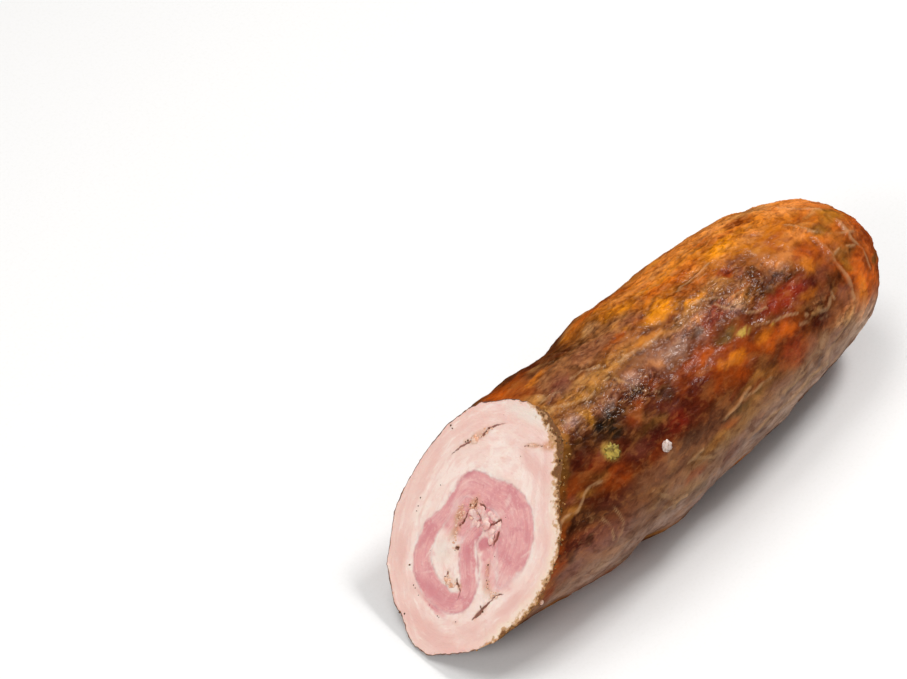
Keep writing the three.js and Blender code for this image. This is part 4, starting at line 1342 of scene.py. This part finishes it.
folds = {}
for name, pattern, start, full, where in [
    ("valleys", grain["creping"], 0.5, 0.36, wrinkled),
    ("crests", grain["creping"], 0.52, 0.66, wrinkled),
    ("facet_hollows", facets, 0.4, 0.1, wet),
    ("facet_crests", facets, 0.4, 0.75, wet),
]:
    amount = add(tree, "MapRange", {"Value": pattern, "From Min": start, "From Max": full})
    folds[name] = add(tree, "Math", {0: amount, 1: where}, operation="MULTIPLY")
base = lay(tree, stain_colour, [
    (grain["tone"], 0.5, 0.66, MOTTLE_DARK, 0.4, "MULTIPLY"),
    (grain["tone"], 0.46, 0.34, MOTTLE_LIGHT, 0.12),
    (grain["speckle"], 0.52, 0.68, SPECKLE_DARK, 0.36, "MULTIPLY"),
    (grain["speckle"], 0.46, 0.32, SPECKLE_LIGHT, 0.12),
    # Painted shade and painted highlights that follow the creping and the facets
    (folds["valleys"], 0.0, 1.0, VALLEY_SHADE, 0.42, "MULTIPLY"),
    (folds["crests"], 0.0, 1.0, CREST_HIGHLIGHT, 0.18),
    (folds["facet_hollows"], 0.0, 1.0, FACET_HOLLOW_SHADE, 0.3, "MULTIPLY"),
    (folds["facet_crests"], 0.0, 1.0, FACET_CREST_HIGHLIGHT, 0.12),
    (film_guide, 0.2, 1.0, LIFTED_FILM, 0.5),
])
print("colour of the casing laid in", len(tree.nodes), "nodes so far")

# %% Gloss and relief of the casing
# Heights in metres. The film's gloss is uneven, because smoke and fat dried on it in clouds
POCK_HEIGHT = 0.0006
CREPING_HEIGHT = 0.0008
FACET_HEIGHT = 0.0007
DRY_COAT = 0.14

gloss = add(tree, "MapRange", {
    "Value": grain["cloud"], "From Min": 0.35, "From Max": 0.65, "To Min": 0.36, "To Max": 0.5,
})
coat = add(tree, "MapRange", {"Value": wet, "To Min": DRY_COAT, "To Max": 1.0})
facet_relief = add(tree, "Math", {0: facets, 1: coat}, operation="MULTIPLY")
creping_relief = add(tree, "Math", {0: grain["creping"], 1: wrinkled}, operation="MULTIPLY")
film_normal = add(tree, "Bump", {"Height": grain["pocks"], "Strength": 0.6, "Distance": POCK_HEIGHT})
for height, distance in ((creping_relief, CREPING_HEIGHT), (facet_relief, FACET_HEIGHT)):
    film_normal = add(tree, "Bump", {
        "Height": height, "Strength": 1.0, "Distance": distance, "Normal": film_normal,
    })
shader = add(tree, "BsdfPrincipled", {
    "Base Color": base, "Roughness": gloss, "Normal": film_normal, "IOR": 1.38,
    "Specular IOR Level": 0.2, "Coat Weight": coat, "Coat Roughness": 0.1, "Coat IOR": 1.36,
    "Coat Normal": film_normal,
})
add(tree, "OutputMaterial", {"Surface": shader}, give=None)
smoked_roll.data.materials.append(material)
smoked_roll.data.materials.append(cooked_fat)
print("materials on the roll:", [slot.name for slot in smoked_roll.data.materials])

# %% [markdown]
# ## Crumbs, specks, shreds and flakes
# Pepper, crumbs of fat and torn shreds lie in the open seams, crumbs of rind along the rim, and a few
# flakes stick to the skin. They are real little lumps: one rough ball, copied, squashed, turned and
# roughened for each, and joined into one mesh for each kind. Each sits on the nearest point of the
# surface below it. Their materials are plain rough solids in two tones: cracked pepper is brown-black,
# crumbled rind ochre and dark brown, rendered fat cream with tan sides, the shreds torn whitish pink
# lean, and the flakes dried fat and salt.

# %% A rough lump
def ball(rounds):
    """Points and triangles of a ball of radius 1."""
    built = bmesh.new()
    bmesh.ops.create_icosphere(built, subdivisions=rounds, radius=1)
    points = np.array([vertex.co[:] for vertex in built.verts])
    faces = np.array([[vertex.index for vertex in face.verts] for face in built.faces])
    built.free()
    return points, faces


RAY_DEPTH = 0.17


def lumps_piece(name, spots, material, rounds=2, roughness=0.3, rays=0):
    """One mesh of rough lumps. A spot is a place, the direction up from the surface, and three sizes."""
    points, faces = ball(rounds)
    spin = np.arctan2(points[:, 1], points[:, 0])
    all_points = []
    all_faces = []
    for place, up, size in spots:
        own = points * (1 + roughness * ripple(points + rng.uniform(0, 50, 3), 0.7)[:, None])
        if rays:
            own = own * (1 + RAY_DEPTH * np.cos(rays * spin + 3 * ripple(points, 0.9)))[:, None]
        turn = rng.uniform(0, 2 * math.pi)
        c, s = math.cos(turn), math.sin(turn)
        sideways = np.cross(up, (c, s, 0.3))
        sideways /= np.linalg.norm(sideways)
        frame_of_spot = np.stack([sideways, np.cross(up, sideways), up])
        all_faces.append(faces + len(points) * len(all_points))
        all_points.append(place + (own * np.array(size) / 2) @ frame_of_spot)
    piece = mesh_piece(name, np.vstack(all_points), np.vstack(all_faces).tolist(), [material])
    print(name, len(spots), "lumps,", len(piece.data.polygons), "faces")
    return piece


def on_cut(right, up):
    """The point of the cut face nearest to a spot of the section, and the direction away from it."""
    nearest = np.argmin(np.hypot(section[:, 0] - right, section[:, 1] - up))
    return face[nearest], cut_normal


def on_skin_at(x, angle):
    """The point of the skin nearest to a place and angle, and the direction away from it."""
    row, column = np.unravel_index(
        np.argmin(np.hypot(grid_x - x, arc_between(grid_angle, angle))), grid_x.shape)
    return skin[row, column], normals[row, column]


print("one lump has", len(ball(2)[1]), "triangles")

# %% Small solids' materials
def speckled_material(name, light, dark, size, roughness, scatter=0.0):
    """A plain rough solid in two tones."""
    material, tree = new_material(name)
    grain = add_patterns(tree, {"tone": ((size, size, size), 4, 0.5)})
    tone = add(tree, "MapRange", {"Value": grain["tone"], "From Min": 0.4, "From Max": 0.62})
    base = add(tree, "Mix", {0: tone, 6: linear(light), 7: linear(dark)}, give=2, data_type="RGBA")
    bump = add(tree, "Bump", {"Height": grain["tone"], "Strength": 0.6, "Distance": 0.0003})
    shader = add(tree, "BsdfPrincipled", {
        "Base Color": base, "Roughness": roughness, "Normal": bump, "IOR": 1.45,
        "Subsurface Weight": scatter, "Subsurface Radius": (1.0, 0.5, 0.3), "Subsurface Scale": 0.0012,
    })
    add(tree, "OutputMaterial", {"Surface": shader}, give=None)
    return material


pepper = speckled_material("cracked_black_pepper", "7c5232", "3c2210", 0.5, 0.6)
rind_bits = speckled_material("crumbled_smoked_rind", "b48246", "3e220c", 1.2, 0.4)
crumb = speckled_material("rendered_fat_crumb", "f5d0bc", "d89c7a", 1.6, 0.45, 0.1)
shred = speckled_material("torn_lean_shred", "f3cfc4", "e2aaa2", 2.6, 0.4, 0.2)
flake = speckled_material("dried_fat_flake", "b89e46", "6c5622", 2.4, 0.5, 0.15)
chip = speckled_material("dried_salt_chip", "e6d4cb", "b89c90", 2.2, 0.5, 0.1)
print([solid.name for solid in (pepper, rind_bits, crumb, shred, flake, chip)])

# %% Pepper in the seams
PEPPER = [
    (-39.6, 42.6, 0.9), (-38.6, 40.2, 0.8), (-38.2, 38.4, 0.7), (-33, 51, 0.6), (-28.8, 22.4, 1.2),
    (-22, 17.6, 0.8), (-20.8, 17.3, 0.7), (-17.4, 16.4, 0.6), (-10, 16.4, 0.5), (-4, 15.2, 0.7),
    (-2.8, 15, 0.6), (6.4, 17.8, 0.7), (8.2, 40.4, 1.0), (10.8, 35.8, 0.8), (12.4, 35, 0.7),
    (-42, 69, 1.2), (-41, 68.4, 0.9), (-19.8, 8.4, 1.1), (-22.2, 7.6, 1.4), (16.4, 26.6, 1.1),
    (14.6, 24, 0.9), (-24.2, 75, 1.4), (-30.6, 68.8, 1.3), (-31, 67.8, 0.9), (-13.4, 46.4, 1.3),
    (-14, 52.4, 1.2), (-12.2, 53.2, 0.9), (-10.6, 37.8, 1.3), (-9.2, 27.4, 1.0), (-2, 28.2, 1.0),
    (5.4, 83.6, 0.9), (-1, 80.6, 0.8), (-23.6, 76.6, 0.8), (18.2, 33, 0.7), (9.4, 44, 0.5),
]
STRAY_PEPPER = 24
strays = []
for _ in range(STRAY_PEPPER):
    crack = cracks[rng.integers(len(cracks))]
    near = crack[rng.integers(len(crack))][:2] + rng.normal(0, 1.1, 2)
    strays.append((near[0], near[1], rng.uniform(0.25, 0.6)))
spots = [(*on_cut(right, up), (size, 0.8 * size, 0.7 * size)) for right, up, size in PEPPER + strays]
lumps_piece("pepper_specks", spots, pepper, rounds=1)

# %% Crumbs of fat in the seams
BIG_CRUMBS = [
    (-26.9, 70.6, 4.6), (-28.2, 71.4, 2.6), (-25.4, 75.4, 1.8), (-6.3, 26.8, 3.4), (-4.4, 26.2, 3),
    (-8, 26.6, 2.6), (16.6, 32.4, 1.8), (19.2, 33.6, 1.4), (-15.6, 48.6, 1.8), (-10.8, 48.8, 2.0),
]
CRUMB_TRAILS = [
    # path in the section, spread, how many, smallest and largest
    ([(-18, 50), (-17.1, 46.6), (-16.1, 44), (-14.5, 40.6), (-12.6, 38)], 1.2, 46, 0.5, 1.4),
    ([(-13.6, 55.4), (-12, 52), (-9, 51)], 1.1, 16, 0.5, 1.3),
    ([(-9, 28), (-6.3, 26.8), (-3.4, 26.6), (-2.6, 28.6)], 0.8, 22, 0.5, 1.5),
    ([(12, 34.5), (16.5, 33.2), (19.4, 35.2)], 0.8, 20, 0.4, 1.2),
    ([(-22.6, 77.4), (-23.9, 74.4), (-26.6, 71), (-29.6, 69)], 0.6, 28, 0.4, 1.3),
    ([(-2, 80), (0.9, 81.9), (4.4, 83.2), (10, 86)], 0.6, 26, 0.4, 1.2),
    ([(7, 41), (9.4, 37.6), (13, 34.6)], 0.9, 14, 0.3, 0.8),
]


def along_trail(path, spread, count):
    """Seeded places along a path, each a little aside of it."""
    path = np.array(path, float)
    travelled = np.concatenate([[0], np.cumsum(np.hypot(*np.diff(path, axis=0).T))])
    wanted = rng.uniform(0, travelled[-1], count)
    on_path = np.stack([np.interp(wanted, travelled, path[:, k]) for k in range(2)], axis=1)
    return on_path + rng.normal(0, spread / 2, (count, 2))


crumb_places = list(BIG_CRUMBS)
for path, spread, count, low, high in CRUMB_TRAILS:
    crumb_places += [(*spot, rng.uniform(low, high)) for spot in along_trail(path, spread, count)]
spots = [(*on_cut(right, up), (size, 0.75 * size, 0.55 * size)) for right, up, size in crumb_places]
lumps_piece("fat_crumbs", spots, crumb, roughness=0.6)

# %% Crumbs of rind behind the rim
RIND_CRUMBS = 70
RIND_CRUMB_SIZES = (0.4, 1.3)
spots = []
for _ in range(RIND_CRUMBS):
    angle = rng.uniform(-50, 96)
    behind = abs(rng.normal(0, 1.7))
    size = rng.uniform(*RIND_CRUMB_SIZES)
    at_rim = rim_x[int(angle % 360 / 360 * COLUMNS)]
    spots.append((*on_skin_at(at_rim + behind, angle), (size, 0.8 * size, 0.4 * size)))
in_band = np.flatnonzero(rind_band > 0.2)
for spot in section[rng.choice(in_band, RIND_CRUMBS)]:
    size = rng.uniform(*RIND_CRUMB_SIZES)
    spots.append((*on_cut(*spot), (size, 0.8 * size, 0.4 * size)))
lumps_piece("rind_crumbs", spots, rind_bits, roughness=0.6)

# %% Torn shreds of the core
STRANDS = [
    # path in the section, how many lumps, their size
    ([(-8.2, 53.2), (-4.6, 52), (-1, 50.4)], 6, 3.4), ([(-12, 50.8), (-8.4, 50.2)], 3, 3),
    ([(3.6, 53), (2.2, 50), (3.6, 47)], 6, 2.8), ([(-3.2, 54), (0.8, 54)], 3, 2.6),
    ([(-9, 48.2), (-6.4, 48.8)], 2, 2.4),
]
spots = []
for path, count, size in STRANDS:
    for right, up in smooth_path(path, count):
        spots.append((*on_cut(right, up), (1.2 * size, 0.9 * size, 0.4 * size)))
lumps_piece("torn_shreds", spots, shred, rounds=3, roughness=0.25)

# %% Flakes on the skin
FLAKES = [
    # name, place along the roll, angle, three sizes, material, rounds of the ball, roughness, rays
    ("starry_flake", -44.7, 50, (7, 6.6, 0.7), flake, 4, 0.3, 11),
    ("white_chip", -20, 33, (5.4, 4.6, 1.6), chip, 3, 0.5, 0),
    ("cream_drop", -103, 351, (3.8, 2.2, 1.4), crumb, 3, 0.15, 0),
]
for name, at, angle, size, material, rounds, roughness, rays in FLAKES:
    lumps_piece(name, [(*on_skin_at(at, angle), size)], material, rounds, roughness, rays)

# %% [markdown]
# ## Floor, light and camera
# A matt pale floor and three soft lights, as in a product photo: one beyond the closed end, one
# overhead and one in front of the cut, in a dim and even room. Only the far light shows in reflections,
# and it draws the sparkles along the top. The floor, the room and the other two lights still light the
# meat, but its gloss doesn't mirror them: on wet film such wide pale things lie like milk over the
# colours, and a photographer takes that glare away with a polarising filter. The camera is the photo's
# own: it was found by matching the roll's outline, and it looks down at 45 degrees.

# %% Floor
FLOOR_HALF = 4.0
PAPER_WHITE = "f2f1f0"
PAPER_SHADE = "edecea"
CORNERS = [(-1, -1), (1, -1), (1, 1), (-1, 1)]

floor_mesh = bpy.data.meshes.new("studio_floor")
floor_mesh.from_pydata([(FLOOR_HALF * x, FLOOR_HALF * y, 0) for x, y in CORNERS], [], [(0, 1, 2, 3)])
floor = bpy.data.objects.new("studio_floor", floor_mesh)
bpy.context.scene.collection.objects.link(floor)
material, tree = new_material("matt_white_paper")
grain = add_patterns(tree, {"paper": ((1.5, 1.5, 1.5), 4, 0.0)})
base = lay(tree, linear(PAPER_WHITE), [(grain["paper"], 0.45, 0.75, PAPER_SHADE, 0.6)])
shader = add(tree, "BsdfPrincipled", {"Base Color": base, "Roughness": 0.85, "IOR": 1.4})
add(tree, "OutputMaterial", {"Surface": shader}, give=None)
floor_mesh.materials.append(material)
floor.visible_glossy = False
print("floor", 2 * FLOOR_HALF, "m wide")

# %% Lights
WORLD_STRENGTH = 0.3
WORLD_COLOUR = (1, 0.995, 0.985, 1)
REFLECTED_LIGHT = "far_softbox"
LIGHTS = [
    # name, place, width, depth, watts
    ("far_softbox", (0.70, -0.14, 1.10), 0.34, 0.26, 8.8),
    ("overhead_softbox", (-0.1, 0.4, 1.4), 0.8, 0.6, 7.0),
    ("front_softbox", (-1.1, -0.15, 0.75), 0.6, 0.5, 7.0),
]

world = bpy.data.worlds.new("soft_room")
world.use_nodes = True
room = world.node_tree.nodes["Background"].inputs
room["Color"].default_value = WORLD_COLOUR
room["Strength"].default_value = WORLD_STRENGTH
world.cycles_visibility.glossy = False
bpy.context.scene.world = world
roll_middle = Vector((0, 0, 0.05))
for name, place, width, depth, watts in LIGHTS:
    lamp = bpy.data.lights.new(name, "AREA")
    lamp.shape = "RECTANGLE"
    lamp.size = width
    lamp.size_y = depth
    lamp.energy = watts
    holder = bpy.data.objects.new(name, lamp)
    holder.location = place
    holder.visible_glossy = name == REFLECTED_LIGHT
    holder.rotation_euler = (Vector(place) - roll_middle).to_track_quat("Z", "Y").to_euler()
    bpy.context.scene.collection.objects.link(holder)
bpy.context.scene.view_settings.view_transform = "Standard"
print(len(LIGHTS), "soft lights")

# %% Camera
PHOTO_WIDTH, PHOTO_HEIGHT = 907, 679
FOCAL_PIXELS = 4420
CAMERA_DISTANCE = 2.0
CAMERA_AZIMUTH = math.radians(-48.8)
CAMERA_ELEVATION = math.radians(45)
ANCHOR = Vector((np.array([0, 0, CENTRE_HEIGHT]) + TO_FRAME) / 1000)
ANCHOR_PIXEL = (623.9, 420.4)
SENSOR_WIDTH = 36

back = Vector((
    math.sin(CAMERA_AZIMUTH) * math.cos(CAMERA_ELEVATION),
    -math.cos(CAMERA_AZIMUTH) * math.cos(CAMERA_ELEVATION),
    math.sin(CAMERA_ELEVATION),
))
right_hand = Vector((math.cos(CAMERA_AZIMUTH), math.sin(CAMERA_AZIMUTH), 0))
upward = back.cross(right_hand)
to_right = (ANCHOR_PIXEL[0] - PHOTO_WIDTH / 2) / FOCAL_PIXELS
to_bottom = (ANCHOR_PIXEL[1] - PHOTO_HEIGHT / 2) / FOCAL_PIXELS
ray = -back + to_right * right_hand - to_bottom * upward
camera = bpy.data.objects.new("photo_camera", bpy.data.cameras.new("photo_camera"))
camera.data.sensor_width = SENSOR_WIDTH
camera.data.lens = FOCAL_PIXELS / PHOTO_WIDTH * SENSOR_WIDTH
camera.location = ANCHOR - CAMERA_DISTANCE * ray
camera.rotation_euler = back.to_track_quat("Z", "Y").to_euler()
bpy.context.scene.collection.objects.link(camera)
bpy.context.scene.camera = camera
print("lens", round(camera.data.lens, 1), "mm, camera at", [round(v, 3) for v in camera.location])
